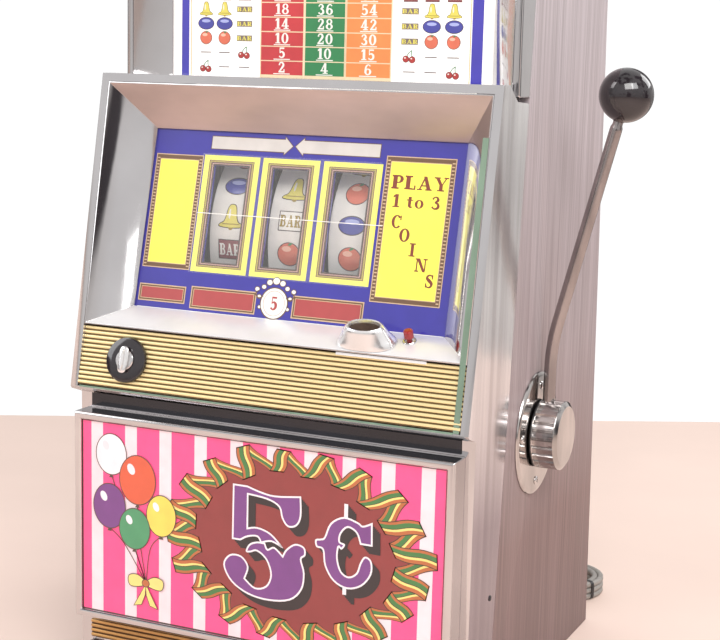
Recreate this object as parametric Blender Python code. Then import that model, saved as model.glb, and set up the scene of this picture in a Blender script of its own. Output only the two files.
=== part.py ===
"""Three-reel, handle-operated slot machine, in metres.

+X is the machine's right as a player stands in front of it, -Y is its front, +Z is up.
The origin is the middle of the underside of the base board, which lies on the floor.
Cabinet boards, chrome door with console, award front, reels, pull handle, rear door and
power cord are separate pieces. Moving pieces are parented to empties on their joint axes.
"""

import math

import bmesh
import bpy
from mathutils import Matrix, Vector

# ---------------------------------------------------------------- driving dimensions

GAP = 0.0003  # between pieces that touch
CABINET_WIDTH = 0.417
CABINET_HEIGHT = 0.770
CABINET_DEPTH = 0.410  # front of the belly frame to the back of the base
BOARD = 0.012  # laminated plywood
SHEET = 0.003  # plated door shell
THIN = 0.0015  # steel sheet

FRONT = -CABINET_DEPTH / 2
SEAM_SETBACK = 0.085  # wood front edge behind the belly frame, at the floor
SEAM_RAKE = 0.0853  # how far the wood front edge leans back per unit of height
BACK_RAKE = 0.051  # how far the back leans forward per unit of height
SEAM_GAP = 0.0006

FLANGE_SETBACK = 0.0265  # flat lower face of the door shell
DOOR_BOTTOM = 0.002
DOOR_BACK_TOP = 0.584
CONSOLE_LOW = (0.0075, 0.2976)  # setback and height of the console rim's lower edge
CONSOLE_HIGH = (0.0646, 0.6010)
CONSOLE_RIM = 0.008
CONSOLE_SILL = 0.0012  # rim below the ribbed panel
RIM_LIP = 0.0155  # depth of the raised lip along the console's top
RIB_LOW = (0.0070, 0.3006)
RIB_HIGH = (0.0218, 0.3565)
RIB_COUNT = 13
RIB_DEPTH = 0.0018
RIB_PLATE = 0.0030
GLASS_LOW = (0.0535, 0.3749)
GLASS_HIGH = (0.0962, 0.5480)
GLASS_MARGIN = 0.0435  # cabinet side to the edge of the reel glass opening
GLASS = 0.004
SPLAY_WALL = 0.0022

BELLY_BOTTOM = 0.0666
BELLY_TOP = 0.2748
BELLY_SIDE = 0.0089  # cabinet side to the belly frame's side
BELLY_LIP = 0.0075
BELLY_WALL = 0.0025
STRIP_BOTTOM = 0.0365
STRIP_TOP = 0.0553
STRIP_RIBS = 4
PAYOUT_TOP = 0.0340
POST = 0.0125

AWARD_BOTTOM = 0.5895
AWARD_SETBACK = 0.1065
AWARD_RIM = 0.0075
AWARD_GLASS_SETBACK = 0.1350
AWARD_WINDOW_SIDE = 0.0370
AWARD_WINDOW_BOTTOM = 0.600
AWARD_TOP_MARGIN = 0.024

REEL_RADIUS = 0.102
REEL_WIDTH = 0.046
REEL_PITCH = 0.065
REEL_MIDDLE = -0.0142  # the reel set sits left of centre
REEL_CLEARANCE = 0.012  # reel face to the glass
REEL_SHAFT_RADIUS = 0.005
REEL_COUNT = 3
REEL_WALL = 0.0022
FRAME_PLATE = 0.0025
FRAME_REACH = 0.104  # middle reel to the inside of each frame plate
SHELF_HEIGHT = 0.212
STOP_SHAFT_RADIUS = 0.004

HANDLE_SETBACK = 0.195
HANDLE_HEIGHT = 0.263
HANDLE_PLATE_RADIUS = 0.061
HUB_RADIUS = 0.0338
HUB_LENGTH = 0.0277
ROD_RADIUS = 0.0060
ROD_INSET = 0.0015  # hub's inner face to the rod
ROD_STRAIGHT = 0.0890  # hub axis to the bend
ROD_LEAN = 0.2535
BALL_HEIGHT = 0.3304  # hub axis to the ball's middle
BALL_RADIUS = 0.0256
SHAFT_RADIUS = 0.010
BUSH_WALL = 0.004

BARREL_RADIUS = 0.0034
HINGE_PIN_RADIUS = 0.0016
HINGE_LEAF = 0.020
HINGE_CLEAR = 0.0004

REAR_RAIL_TOP = 0.070
REAR_DOOR = 0.010
CORD_RADIUS = 0.0035
COIL_MIDDLE = (0.155, 0.500)  # to the right of the middle, and behind the belly frame
COIL_TURN_RADII = (0.035, 0.042)
COIL_LAYERS = 3

# ---------------------------------------------------------------- derived places

HALF = CABINET_WIDTH / 2
INSIDE = HALF - BOARD
RAKE_ANGLE = math.atan(SEAM_RAKE)
BACK_ANGLE = math.atan(BACK_RAKE)
BACK_SETBACK = CABINET_DEPTH
BARREL_X = -(HALF + BARREL_RADIUS + HINGE_CLEAR)


def at(setback):
    """World Y of a distance behind the belly frame's face."""
    return FRONT + setback


def seam(height):
    """World Y of the cabinet sides' front edge."""
    return FRONT + SEAM_SETBACK + SEAM_RAKE * height


def back(height):
    """World Y of the cabinet's back face."""
    return FRONT + BACK_SETBACK - BACK_RAKE * height


# ---------------------------------------------------------------- materials and helpers

PALETTE = {
    "wood_laminate": ((0.46, 0.36, 0.33), 0.55, 0.0),
    "chrome": ((0.82, 0.82, 0.84), 0.08, 1.0),
    "steel": ((0.55, 0.55, 0.56), 0.35, 1.0),
    "gold_ribbed": ((0.83, 0.68, 0.36), 0.30, 0.8),
    "reel_print": ((0.12, 0.10, 0.55), 0.10, 0.0),
    "belly_print": ((0.90, 0.25, 0.45), 0.12, 0.0),
    "award_print": ((0.90, 0.88, 0.84), 0.12, 0.0),
    "black_plastic": ((0.03, 0.03, 0.035), 0.25, 0.0),
    "red_plastic": ((0.45, 0.03, 0.03), 0.30, 0.0),
    "reel_white": ((0.86, 0.84, 0.80), 0.45, 0.0),
    "brass": ((0.75, 0.57, 0.25), 0.35, 1.0),
    "lamp_white": ((0.92, 0.92, 0.88), 0.25, 0.0),
    "grey_cord": ((0.50, 0.50, 0.50), 0.50, 0.0),
    "plywood": ((0.55, 0.42, 0.27), 0.65, 0.0),
    "transformer_green": ((0.16, 0.19, 0.17), 0.50, 0.2),
}

for stale in list(bpy.data.objects):
    bpy.data.objects.remove(stale, do_unlink=True)


def material(name):
    found = bpy.data.materials.get(name)
    if found:
        return found
    colour, roughness, metallic = PALETTE[name]
    made = bpy.data.materials.new(name)
    made.use_nodes = True
    shader = made.node_tree.nodes["Principled BSDF"]
    shader.inputs["Base Color"].default_value = (*colour, 1.0)
    shader.inputs["Roughness"].default_value = roughness
    shader.inputs["Metallic"].default_value = metallic
    return made


def place(obj, parent):
    """Parents the object without moving it."""
    if parent:
        obj.parent = parent
        obj.matrix_parent_inverse = parent.matrix_world.inverted()
    return obj


def solid(name, points, faces, look, parent=None, matrix=None, smooth=False):
    """A named object from points and faces, its normals turned out."""
    mesh = bpy.data.meshes.new(name)
    mesh.from_pydata([tuple(p) for p in points], [], [tuple(f) for f in faces])
    build = bmesh.new()
    build.from_mesh(mesh)
    bmesh.ops.recalc_face_normals(build, faces=build.faces)
    build.to_mesh(mesh)
    build.free()
    if smooth:
        mesh.shade_smooth()
        mesh.set_sharp_from_angle(angle=math.radians(35))
    mesh.materials.append(material(look))
    obj = bpy.data.objects.new(name, mesh)
    bpy.context.scene.collection.objects.link(obj)
    if matrix is not None:
        obj.matrix_world = matrix
    return place(obj, parent)


def box_shape(low, high):
    (x0, y0, z0), (x1, y1, z1) = low, high
    points = [(x, y, z) for x in (x0, x1) for y in (y0, y1) for z in (z0, z1)]
    faces = [(0, 1, 3, 2), (4, 6, 7, 5), (0, 4, 5, 1), (2, 3, 7, 6), (0, 2, 6, 4), (1, 5, 7, 3)]
    return points, faces


def prism_shape(outline, x0, x1):
    """An outline of (y, z) pushed along X."""
    count = len(outline)
    points = [(x0, y, z) for y, z in outline] + [(x1, y, z) for y, z in outline]
    sides = [(i, (i + 1) % count, (i + 1) % count + count, i + count) for i in range(count)]
    return points, sides + [tuple(range(count)), tuple(range(2 * count - 1, count - 1, -1))]


def rings_shape(loops):
    """A closed ring: each loop has as many points as the next, and the last meets the first."""
    count = len(loops[0])
    points = [point for loop in loops for point in loop]
    faces = []
    for k in range(len(loops)):
        a = k * count
        b = (k + 1) % len(loops) * count
        faces += [(a + i, a + (i + 1) % count, b + (i + 1) % count, b + i) for i in range(count)]
    return points, faces


def turned_shape(profile, sides=32):
    """A profile of (radius, x) turned round the X axis. Where it starts or ends at radius 0, it closes."""
    closed = profile[0][0] > 0 and profile[-1][0] > 0
    points = []
    rows = []
    for radius, x in profile:
        if radius == 0:
            rows.append([len(points)] * sides)
            points.append((x, 0.0, 0.0))
            continue
        rows.append(list(range(len(points), len(points) + sides)))
        turns = [math.tau * i / sides for i in range(sides)]
        points += [(x, radius * math.cos(t), radius * math.sin(t)) for t in turns]
    pairs = list(zip(rows, rows[1:]))
    if closed:
        pairs.append((rows[-1], rows[0]))
    faces = []
    for low, high in pairs:
        for i in range(sides):
            j = (i + 1) % sides
            corners = tuple(dict.fromkeys((low[i], low[j], high[j], high[i])))
            if len(corners) > 2:
                faces.append(corners)
    return points, faces


def rectangle(half, low, high):
    """Four points: low and high are (y, z)."""
    return [(-half, *low), (half, *low), (half, *high), (-half, *high)]


def slope_frame(low, high):
    """A frame on a sloping face: X across, Y up the slope, Z out of it, origin at its low edge."""
    along = Vector((0.0, high[0] - low[0], high[1] - low[1]))
    length = along.length
    along.normalize()
    outward = Vector((1.0, 0.0, 0.0)).cross(along)
    frame = Matrix.Identity(4)
    frame.col[1] = (*along, 0.0)
    frame.col[2] = (*outward, 0.0)
    frame.col[3] = (0.0, at(low[0]), low[1], 1.0)
    return frame, length


def cutter(name, shape, parent=None, matrix=None):
    obj = solid(name, *shape, "steel", parent, matrix)
    obj.hide_render = True
    obj.display_type = "WIRE"
    return obj


def boolean(obj, other, operation="DIFFERENCE"):
    change = obj.modifiers.new(other.name, "BOOLEAN")
    change.operation = operation
    change.object = other
    change.solver = "EXACT"


def join_into(obj, name, shape, matrix=None):
    boolean(obj, cutter(name, shape, matrix=matrix), "UNION")


def cut_from(obj, name, shape, matrix=None):
    boolean(obj, cutter(name, shape, matrix=matrix))


def pivot(name, origin, direction=None):
    """An empty on a joint's axis, its local Z along it."""
    empty = bpy.data.objects.new(name, None)
    empty.empty_display_size = 0.03
    bpy.context.scene.collection.objects.link(empty)
    empty.location = origin
    if direction:
        empty.rotation_euler = Vector(direction).to_track_quat("Z", "Y").to_euler()
    bpy.context.view_layer.update()
    return empty


def moved(x=0.0, y=0.0, z=0.0):
    return Matrix.Translation((x, y, z))


# ---------------------------------------------------------------- cabinet


def side_outline():
    return [
        (seam(0), 0.0),
        (back(0), 0.0),
        (back(CABINET_HEIGHT), CABINET_HEIGHT),
        (seam(CABINET_HEIGHT), CABINET_HEIGHT),
    ]


def make_cabinet():
    for name, sign in (("cabinet_side_left", -1), ("cabinet_side_right", 1)):
        edges = sorted((sign * HALF, sign * INSIDE))
        side = solid(name, *prism_shape(side_outline(), *edges), "wood_laminate")
        if sign > 0:
            hole = turned_shape([(0, 0), (SHAFT_RADIUS + BUSH_WALL + GAP, 0),
                                 (SHAFT_RADIUS + BUSH_WALL + GAP, 3 * BOARD), (0, 3 * BOARD)])
            cut_from(side, "cut_handle_hole", hole, moved(INSIDE - BOARD, at(HANDLE_SETBACK), HANDLE_HEIGHT))
    half = INSIDE - GAP
    base = [(seam(0), 0.0), (back(0), 0.0), (back(BOARD), BOARD), (seam(BOARD), BOARD)]
    solid("cabinet_base", *prism_shape(base, -half, half), "plywood")
    low = CABINET_HEIGHT - BOARD
    top = [(seam(low), low), (back(low), low), (back(CABINET_HEIGHT), CABINET_HEIGHT),
           (seam(CABINET_HEIGHT), CABINET_HEIGHT)]
    solid("cabinet_top", *prism_shape(top, -half, half), "wood_laminate")
    foot = BOARD + GAP
    rail = [(back(foot) - BOARD, foot), (back(foot), foot), (back(REAR_RAIL_TOP), REAR_RAIL_TOP),
            (back(REAR_RAIL_TOP) - BOARD, REAR_RAIL_TOP)]
    rail_piece = solid("rear_rail", *prism_shape(rail, -half, half), "plywood")
    hole = turned_shape([(0, -BOARD), (GLAND_RADIUS + GAP, -BOARD), (GLAND_RADIUS + GAP, 2 * BOARD), (0, 2 * BOARD)])
    cut_from(rail_piece, "cut_gland_hole", hole, gland_frame())


def make_shelf():
    """The board that carries the reel mechanism, with a hole over the payout chute."""
    low = (-INSIDE + GAP, seam(SHELF_HEIGHT) + BOARD, SHELF_HEIGHT)
    high = (INSIDE - GAP, back(SHELF_HEIGHT) - REAR_DOOR - 2 * SHEET, SHELF_HEIGHT + BOARD)
    shelf = solid("mechanism_shelf", *box_shape(low, high), "plywood")
    hole_low = (CHUTE_X - CHUTE_HALF + THIN, at(CHUTE_BACK) - CHUTE_DEPTH + THIN, SHELF_HEIGHT - BOARD)
    hole_high = (CHUTE_X + CHUTE_HALF - THIN, at(CHUTE_BACK) - THIN, SHELF_HEIGHT + 2 * BOARD)
    cut_from(shelf, "cut_shelf_hole", box_shape(hole_low, hole_high))


# ---------------------------------------------------------------- front hinges

DOOR_KNUCKLES = ((0.062, 0.268), (0.342, 0.540))
FIXED_KNUCKLES = ((0.015, 0.061), (0.269, 0.341), (0.541, 0.578))


def raked_frame():
    """X across, Y along the seam, Z forwards out of it, origin at the floor under the hinge barrel."""
    along = Vector((0.0, math.sin(RAKE_ANGLE), math.cos(RAKE_ANGLE)))
    outward = Vector((1.0, 0.0, 0.0)).cross(along)
    frame = Matrix.Identity(4)
    frame.col[1] = (*along, 0.0)
    frame.col[2] = (*outward, 0.0)
    frame.col[3] = (BARREL_X, seam(0) - SEAM_GAP / 2, 0.0, 1.0)
    return frame


def knuckle_shape(start, end, bored=True):
    """A tube round the hinge pin, along local Y, or a solid barrel where the pin is one piece with it."""
    bore = HINGE_PIN_RADIUS + GAP
    inner = [(bore, end), (bore, start)] if bored else [(0, end), (0, start)]
    profile = [(BARREL_RADIUS, start), (BARREL_RADIUS, end), *inner]
    if not bored:
        profile = [(0, start), *profile[:3]]
    points, faces = turned_shape(profile, 12)
    return [(z, x, y) for x, y, z in points], faces


def hinge_leaf(name, knuckles, start, end, side, parent=None):
    """A leaf on the outside left face: side is -1 behind the seam, 1 in front of it."""
    face = BARREL_RADIUS + HINGE_CLEAR - GAP
    near = BARREL_RADIUS + HINGE_CLEAR
    edges = sorted((side * near, side * HINGE_LEAF))
    shape = box_shape((face - THIN, start, edges[0]), (face, end, edges[1]))
    leaf = solid(name, *shape, "chrome", parent, raked_frame())
    for number, (low, high) in enumerate(knuckles):
        reach = sorted((side * (HINGE_PIN_RADIUS + 2 * GAP), side * (near + GAP)))
        bridge = box_shape((face - THIN, low, reach[0]), (face, high, reach[1]))
        join_into(leaf, f"{name}_bridge_{number}", bridge, raked_frame())
        join_into(leaf, f"{name}_knuckle_{number}", knuckle_shape(low, high), raked_frame())
    return leaf


def make_front_hinges(door):
    start, top = FIXED_KNUCKLES[0][0], FIXED_KNUCKLES[-1][1]
    hinge_leaf("front_hinge_leaf", FIXED_KNUCKLES, start, top, -1)
    hinge_leaf("door_hinge_leaf", DOOR_KNUCKLES, DOOR_KNUCKLES[0][0], DOOR_KNUCKLES[-1][1], 1, door)
    pin = turned_shape([(0, start), (HINGE_PIN_RADIUS, start), (HINGE_PIN_RADIUS, top), (0, top)], 12)
    points = [(z, x, y) for x, y, z in pin[0]]
    solid("front_hinge_pin", points, pin[1], "steel", None, raked_frame())


# ---------------------------------------------------------------- main door


def console_y(height):
    """World Y of the console rim's front plane."""
    share = (height - CONSOLE_LOW[1]) / (CONSOLE_HIGH[1] - CONSOLE_LOW[1])
    return at(CONSOLE_LOW[0] + share * (CONSOLE_HIGH[0] - CONSOLE_LOW[0]))


def door_outline():
    undercut = CONSOLE_LOW[1] - 0.0085
    return [
        (at(FLANGE_SETBACK), DOOR_BOTTOM),
        (at(FLANGE_SETBACK), undercut),
        (at(CONSOLE_LOW[0]) + 0.002, CONSOLE_LOW[1] - 0.0025),
        (at(CONSOLE_LOW[0]), CONSOLE_LOW[1]),
        (at(CONSOLE_HIGH[0]), CONSOLE_HIGH[1]),
        (at(CONSOLE_HIGH[0]) + RIM_LIP, CONSOLE_HIGH[1]),
        (at(AWARD_SETBACK) - 0.004, DOOR_BACK_TOP + 0.002),
        (seam(DOOR_BACK_TOP) - SEAM_GAP, DOOR_BACK_TOP),
        (seam(DOOR_BOTTOM) - SEAM_GAP, DOOR_BOTTOM),
    ]


def door_inside():
    """The hollow behind the shell's faces, open to the back."""
    undercut = CONSOLE_LOW[1] - 0.0085 + SHEET
    deep = at(BACK_SETBACK)
    floor = DOOR_BOTTOM + SHEET
    return [
        (at(FLANGE_SETBACK) + SHEET, floor),
        (at(FLANGE_SETBACK) + SHEET, undercut),
        (console_y(CONSOLE_LOW[1]) + 2 * SHEET, CONSOLE_LOW[1]),
        (console_y(CONSOLE_HIGH[1] - SHEET) + SHEET, CONSOLE_HIGH[1] - SHEET),
        (at(CONSOLE_HIGH[0]) + RIM_LIP - SHEET / 2, CONSOLE_HIGH[1] - SHEET),
        (at(AWARD_SETBACK) - 0.004 - SHEET / 2, DOOR_BACK_TOP + 0.002 - SHEET),
        (deep, DOOR_BACK_TOP - SHEET),
        (deep, floor),
    ]


def make_door_shell(door):
    shell = solid("door_shell", *prism_shape(door_outline(), -HALF, HALF), "chrome", door)
    wall = HALF - SHEET
    cut_from(shell, "cut_shell_inside", prism_shape(door_inside(), -wall, wall))
    belly = HALF - BELLY_SIDE - BELLY_LIP - 0.005
    low = (-belly, at(0), BELLY_BOTTOM + 0.011)
    high = (belly, at(FLANGE_SETBACK) + 2 * SHEET, BELLY_TOP - 0.011)
    cut_from(shell, "cut_belly_window", box_shape(low, high))
    low = (-(HALF - POST), at(0), DOOR_BOTTOM + SHEET)
    high = (HALF - POST, at(FLANGE_SETBACK) + 2 * SHEET, PAYOUT_TOP)
    cut_from(shell, "cut_payout_window", box_shape(low, high))
    frame, length = slope_frame(CONSOLE_LOW, CONSOLE_HIGH)
    reach = HALF - CONSOLE_RIM
    window = box_shape((-reach, CONSOLE_SILL, -4 * SHEET), (reach, length - CONSOLE_RIM, 4 * SHEET))
    cut_from(shell, "cut_console_window", window, frame)
    return shell


def slope_point(low, high, height, outward=0.0):
    """(y, z) on the slope through low and high, moved out of it."""
    frame, length = slope_frame(low, high)
    share = (height - low[1]) / (high[1] - low[1])
    point = frame @ Vector((0.0, share * length, outward))
    return point.y, point.z


def make_console_bezel(door):
    """Splayed mirror surround between the rim and the reel glass. Its floor is the coin shelf."""
    rim_top = CONSOLE_HIGH[1] - CONSOLE_RIM - GAP
    rim_low = RIB_HIGH[1] + GAP
    half = HALF - CONSOLE_RIM - GAP
    glass = HALF - GLASS_MARGIN
    front_low = slope_point(CONSOLE_LOW, CONSOLE_HIGH, rim_low + 0.002)
    front_high = slope_point(CONSOLE_LOW, CONSOLE_HIGH, rim_top)
    back_low = slope_point(CONSOLE_LOW, CONSOLE_HIGH, rim_low + 0.002, -SHEET)
    back_high = slope_point(CONSOLE_LOW, CONSOLE_HIGH, rim_top, -SHEET)
    glass_low = slope_point(GLASS_LOW, GLASS_HIGH, GLASS_LOW[1])
    glass_high = slope_point(GLASS_LOW, GLASS_HIGH, GLASS_HIGH[1])
    behind_low = slope_point(GLASS_LOW, GLASS_HIGH, GLASS_LOW[1], -SPLAY_WALL)
    behind_high = slope_point(GLASS_LOW, GLASS_HIGH, GLASS_HIGH[1], -SPLAY_WALL)
    flange_low = slope_point(GLASS_LOW, GLASS_HIGH, GLASS_LOW[1] - SPLAY_WALL, -SPLAY_WALL)
    flange_high = slope_point(GLASS_LOW, GLASS_HIGH, GLASS_HIGH[1] + SPLAY_WALL, -SPLAY_WALL)
    edge = 0.0012
    loops = [
        rectangle(half, front_low, front_high),
        rectangle(half - edge, (front_low[0], front_low[1] + edge), (front_high[0], front_high[1] - edge)),
        rectangle(glass, glass_low, glass_high),
        rectangle(glass, behind_low, behind_high),
        rectangle(glass + 3 * SPLAY_WALL, flange_low, flange_high),
        rectangle(half, back_low, back_high),
    ]
    solid("console_bezel", *rings_shape(loops), "chrome", door)


def make_reel_glass(door):
    frame, length = slope_frame(GLASS_LOW, GLASS_HIGH)
    half = HALF - GLASS_MARGIN + SPLAY_WALL
    face = -SPLAY_WALL - GAP
    shape = box_shape((-half, -SPLAY_WALL, face - GLASS), (half, length + SPLAY_WALL, face))
    solid("reel_glass", *shape, "reel_print", door, frame)


def ribbed_outline(length, count):
    """Rib tops with grooves between them, as (along, out) points over a flat back."""
    pitch = length / count
    outline = [(0.0, 0.0)]
    for i in range(count):
        start = i * pitch
        outline += [
            (start + 0.15 * pitch, RIB_PLATE),
            (start + 0.35 * pitch, RIB_PLATE + RIB_DEPTH),
            (start + 0.75 * pitch, RIB_PLATE + RIB_DEPTH),
            (start + 0.95 * pitch, RIB_PLATE),
        ]
    outline.append((length, RIB_PLATE))
    outline.append((length, 0.0))
    outline[1] = (0.0, RIB_PLATE)
    return outline


def make_ribbed_panels(door):
    frame, length = slope_frame(RIB_LOW, RIB_HIGH)
    half = HALF - CONSOLE_RIM - GAP
    outline = ribbed_outline(length - 2 * GAP, RIB_COUNT)
    seated = frame @ moved(0, GAP, -RIB_PLATE - RIB_DEPTH)
    panel = solid("rib_panel", *prism_shape(outline, -half, half), "gold_ribbed", door, seated)
    bore = LOCK_RADIUS + GAP
    hole = turned_shape([(0, -0.01), (bore, -0.01), (bore, 0.01), (0, 0.01)], 24)
    cut_from(panel, "cut_lock_hole", hole, lock_frame())
    frame, length = slope_frame((FLANGE_SETBACK - GAP, STRIP_BOTTOM), (FLANGE_SETBACK - GAP, STRIP_TOP))
    outline = ribbed_outline(length, STRIP_RIBS)
    solid("lower_rib_strip", *prism_shape(outline, -(HALF - POST), HALF - POST), "gold_ribbed", door, frame)


def make_belly(door):
    outer = HALF - BELLY_SIDE
    inner = outer - BELLY_LIP
    pocket = outer - BELLY_WALL
    face = at(0)
    step = at(SHEET)
    rear = at(FLANGE_SETBACK) - GAP
    bevel = 0.0015

    def loop(half, y):
        inset = outer - half
        return rectangle(half, (y, BELLY_BOTTOM + inset), (y, BELLY_TOP - inset))

    loops = [loop(outer, rear), loop(outer, face + bevel), loop(outer - bevel, face), loop(inner + bevel, face),
             loop(inner, face + bevel), loop(inner, step), loop(pocket, step), loop(pocket, rear)]
    solid("belly_frame", *rings_shape(loops), "chrome", door)
    side = pocket - GAP
    inset = outer - side
    low = (-side, step + GAP, BELLY_BOTTOM + inset)
    high = (side, step + GAP + GLASS, BELLY_TOP - inset)
    solid("belly_glass", *box_shape(low, high), "belly_print", door)


PAYOUT_FRONT = 0.010
PAYOUT_BACK = 0.084
PAYOUT_LIP = 0.018
PAYOUT_REAR_LIP = 0.013
PAYOUT_WALL = 0.002


def make_payout_cup(door):
    half = HALF - POST - GAP
    floor = DOOR_BOTTOM + SHEET + GAP
    top = PAYOUT_TOP - GAP
    low = (-half, at(PAYOUT_FRONT), floor)
    high = (half, at(PAYOUT_BACK), top)
    cup = solid("payout_cup", *box_shape(low, high), "chrome", door)
    w = PAYOUT_WALL
    inner = box_shape((-half + w, low[1] + w, floor + w), (half - w, high[1] - w, top + w))
    cut_from(cup, "cut_cup_inside", inner)
    front = box_shape((-half + w, low[1] - w, PAYOUT_LIP), (half - w, low[1] + 2 * w, top + w))
    cut_from(cup, "cut_cup_front", front)
    rear = box_shape((-half + w, high[1] - 2 * w, PAYOUT_REAR_LIP), (half - w, high[1] + w, top + w))
    cut_from(cup, "cut_cup_rear", rear)


# ---------------------------------------------------------------- coin entry, button, lock

COIN_X = 0.0965
COIN_HALF_WIDTH = 0.0285
COIN_HALF_DEPTH = 0.0165
COIN_HEIGHT = 0.018
COIN_TOP_SHARE = 0.58
COIN_ALONG = 0.0175
COIN_SLOT = (0.030, 0.0045)
BUTTON_X = 0.1355
BUTTON_ALONG = 0.0255
BUTTON_RADIUS = 0.0045
BUTTON_RISE = 0.012
BUTTON_TRAVEL = 0.004
LOCK_INSET = 0.0530  # from the end of the ribbed panel
LOCK_ALONG = 0.0285
LOCK_RADIUS = 0.0110
LOCK_PLATE_RADIUS = 0.0222
LOCK_PLATE = 0.003


def shelf_low():
    y, z = slope_point(CONSOLE_LOW, CONSOLE_HIGH, RIB_HIGH[1] + GAP + 0.002)
    return y - FRONT, z + 0.0012


def shelf_frame():
    """On the coin shelf: X across, Y back up the shelf, Z out of it."""
    frame, _ = slope_frame(shelf_low(), GLASS_LOW)
    return frame


def oval(half_width, half_depth, height, middle, sides=32):
    turns = [math.tau * i / sides for i in range(sides)]
    return [(middle[0] + half_width * math.cos(t), middle[1] + half_depth * math.sin(t), height) for t in turns]


def capped_rings(loops):
    """Loops joined in order, with the first and last filled."""
    points, faces = rings_shape(loops)
    count = len(loops[0])
    faces = faces[: count * (len(loops) - 1)]
    last = count * (len(loops) - 1)
    return points, faces + [tuple(range(count)), tuple(range(last, last + count))]


def make_coin_entry(door):
    """A flared cup on the coin shelf, with a slot through its floor and through the shelf."""
    middle = (COIN_X, COIN_ALONG)
    top = COIN_TOP_SHARE
    loops = [
        oval(COIN_HALF_WIDTH, COIN_HALF_DEPTH, GAP, middle),
        oval(COIN_HALF_WIDTH, COIN_HALF_DEPTH, 0.003, middle),
        oval(COIN_HALF_WIDTH * (top + 1) / 2 * 1.06, COIN_HALF_DEPTH * (top + 1) / 2 * 1.06, COIN_HEIGHT / 2, middle),
        oval(COIN_HALF_WIDTH * top, COIN_HALF_DEPTH * top, COIN_HEIGHT, middle),
        oval(COIN_HALF_WIDTH * top - 0.003, COIN_HALF_DEPTH * top - 0.003, COIN_HEIGHT, middle),
        oval(COIN_HALF_WIDTH * top - 0.005, COIN_HALF_DEPTH * top - 0.004, 0.009, middle),
    ]
    entry = solid("coin_entry", *capped_rings(loops), "chrome", door, shelf_frame(), True)
    half, thin = COIN_SLOT[0] / 2, COIN_SLOT[1] / 2
    slot = box_shape((COIN_X - half, COIN_ALONG - thin, -0.02), (COIN_X + half, COIN_ALONG + thin, 0.03))
    cut_from(entry, "cut_coin_slot", slot, shelf_frame())
    wider = GAP
    shelf_slot = box_shape((COIN_X - half - wider, COIN_ALONG - thin - wider, -0.02),
                           (COIN_X + half + wider, COIN_ALONG + thin + wider, 0.03))
    cut_from(bpy.data.objects["console_bezel"], "cut_shelf_slot", shelf_slot, shelf_frame())


def make_coin_button(door):
    """A plunger through the shelf, with a head on top, which pushes a bent coin out of the chute."""
    frame = shelf_frame() @ moved(BUTTON_X, BUTTON_ALONG)
    axis = pivot("coin_return_axis", frame.translation, frame.col[2].to_3d())
    place(axis, door)
    stem = BUTTON_RADIUS * 0.55
    profile = [(0, -0.012), (stem, -0.012), (stem, BUTTON_TRAVEL + 2 * GAP), (BUTTON_RADIUS, BUTTON_TRAVEL + 2 * GAP),
               (BUTTON_RADIUS, BUTTON_RISE - 0.001), (BUTTON_RADIUS - 0.001, BUTTON_RISE), (0, BUTTON_RISE)]
    upright = frame @ Matrix.Rotation(-math.pi / 2, 4, "Y")
    solid("coin_return_button", *turned_shape(profile, 24), "red_plastic", axis, upright, True)
    hole = turned_shape([(0, -0.02), (stem + GAP, -0.02), (stem + GAP, 0.02), (0, 0.02)], 24)
    cut_from(bpy.data.objects["console_bezel"], "cut_button_hole", hole, upright)


def lock_frame():
    """Local X points out of the ribbed panel at the lock."""
    frame, _ = slope_frame(RIB_LOW, RIB_HIGH)
    inset = HALF - CONSOLE_RIM - LOCK_INSET
    return frame @ moved(-inset, LOCK_ALONG) @ Matrix.Rotation(-math.pi / 2, 4, "Y")


def make_key_switch(door):
    frame = lock_frame()
    bore = LOCK_RADIUS - 0.003
    plate = [(LOCK_PLATE_RADIUS, GAP), (LOCK_PLATE_RADIUS, LOCK_PLATE - 0.001),
             (LOCK_PLATE_RADIUS - 0.001, LOCK_PLATE), (bore + GAP, LOCK_PLATE), (bore + GAP, -0.008),
             (LOCK_RADIUS, -0.008), (LOCK_RADIUS, GAP)]
    solid("lock_plate", *turned_shape(plate, 32), "black_plastic", door, frame, True)
    axis = pivot("key_axis", frame.translation, frame.col[0].to_3d())
    place(axis, door)
    barrel = [(0, -0.020), (bore, -0.020), (bore, LOCK_PLATE + GAP), (bore + 0.002, LOCK_PLATE + GAP),
              (bore + 0.002, 0.007), (bore + 0.001, 0.008), (0, 0.008)]
    key = solid("lock_barrel", *turned_shape(barrel, 24), "chrome", axis, frame, True)
    blade = box_shape((0.002, -0.0016, -0.0065), (0.0145, 0.0016, 0.0065))
    join_into(key, "join_key_grip", blade, frame)


# ---------------------------------------------------------------- award front


def award_depth(height):
    return seam(height) - GAP


def award_loop(half, low, high, setback=None):
    """A rectangle at a setback, or on the seam where none is given."""
    y_low = award_depth(low) if setback is None else at(setback)
    y_high = award_depth(high) if setback is None else at(setback)
    return rectangle(half, (y_low, low), (y_high, high))


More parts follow.
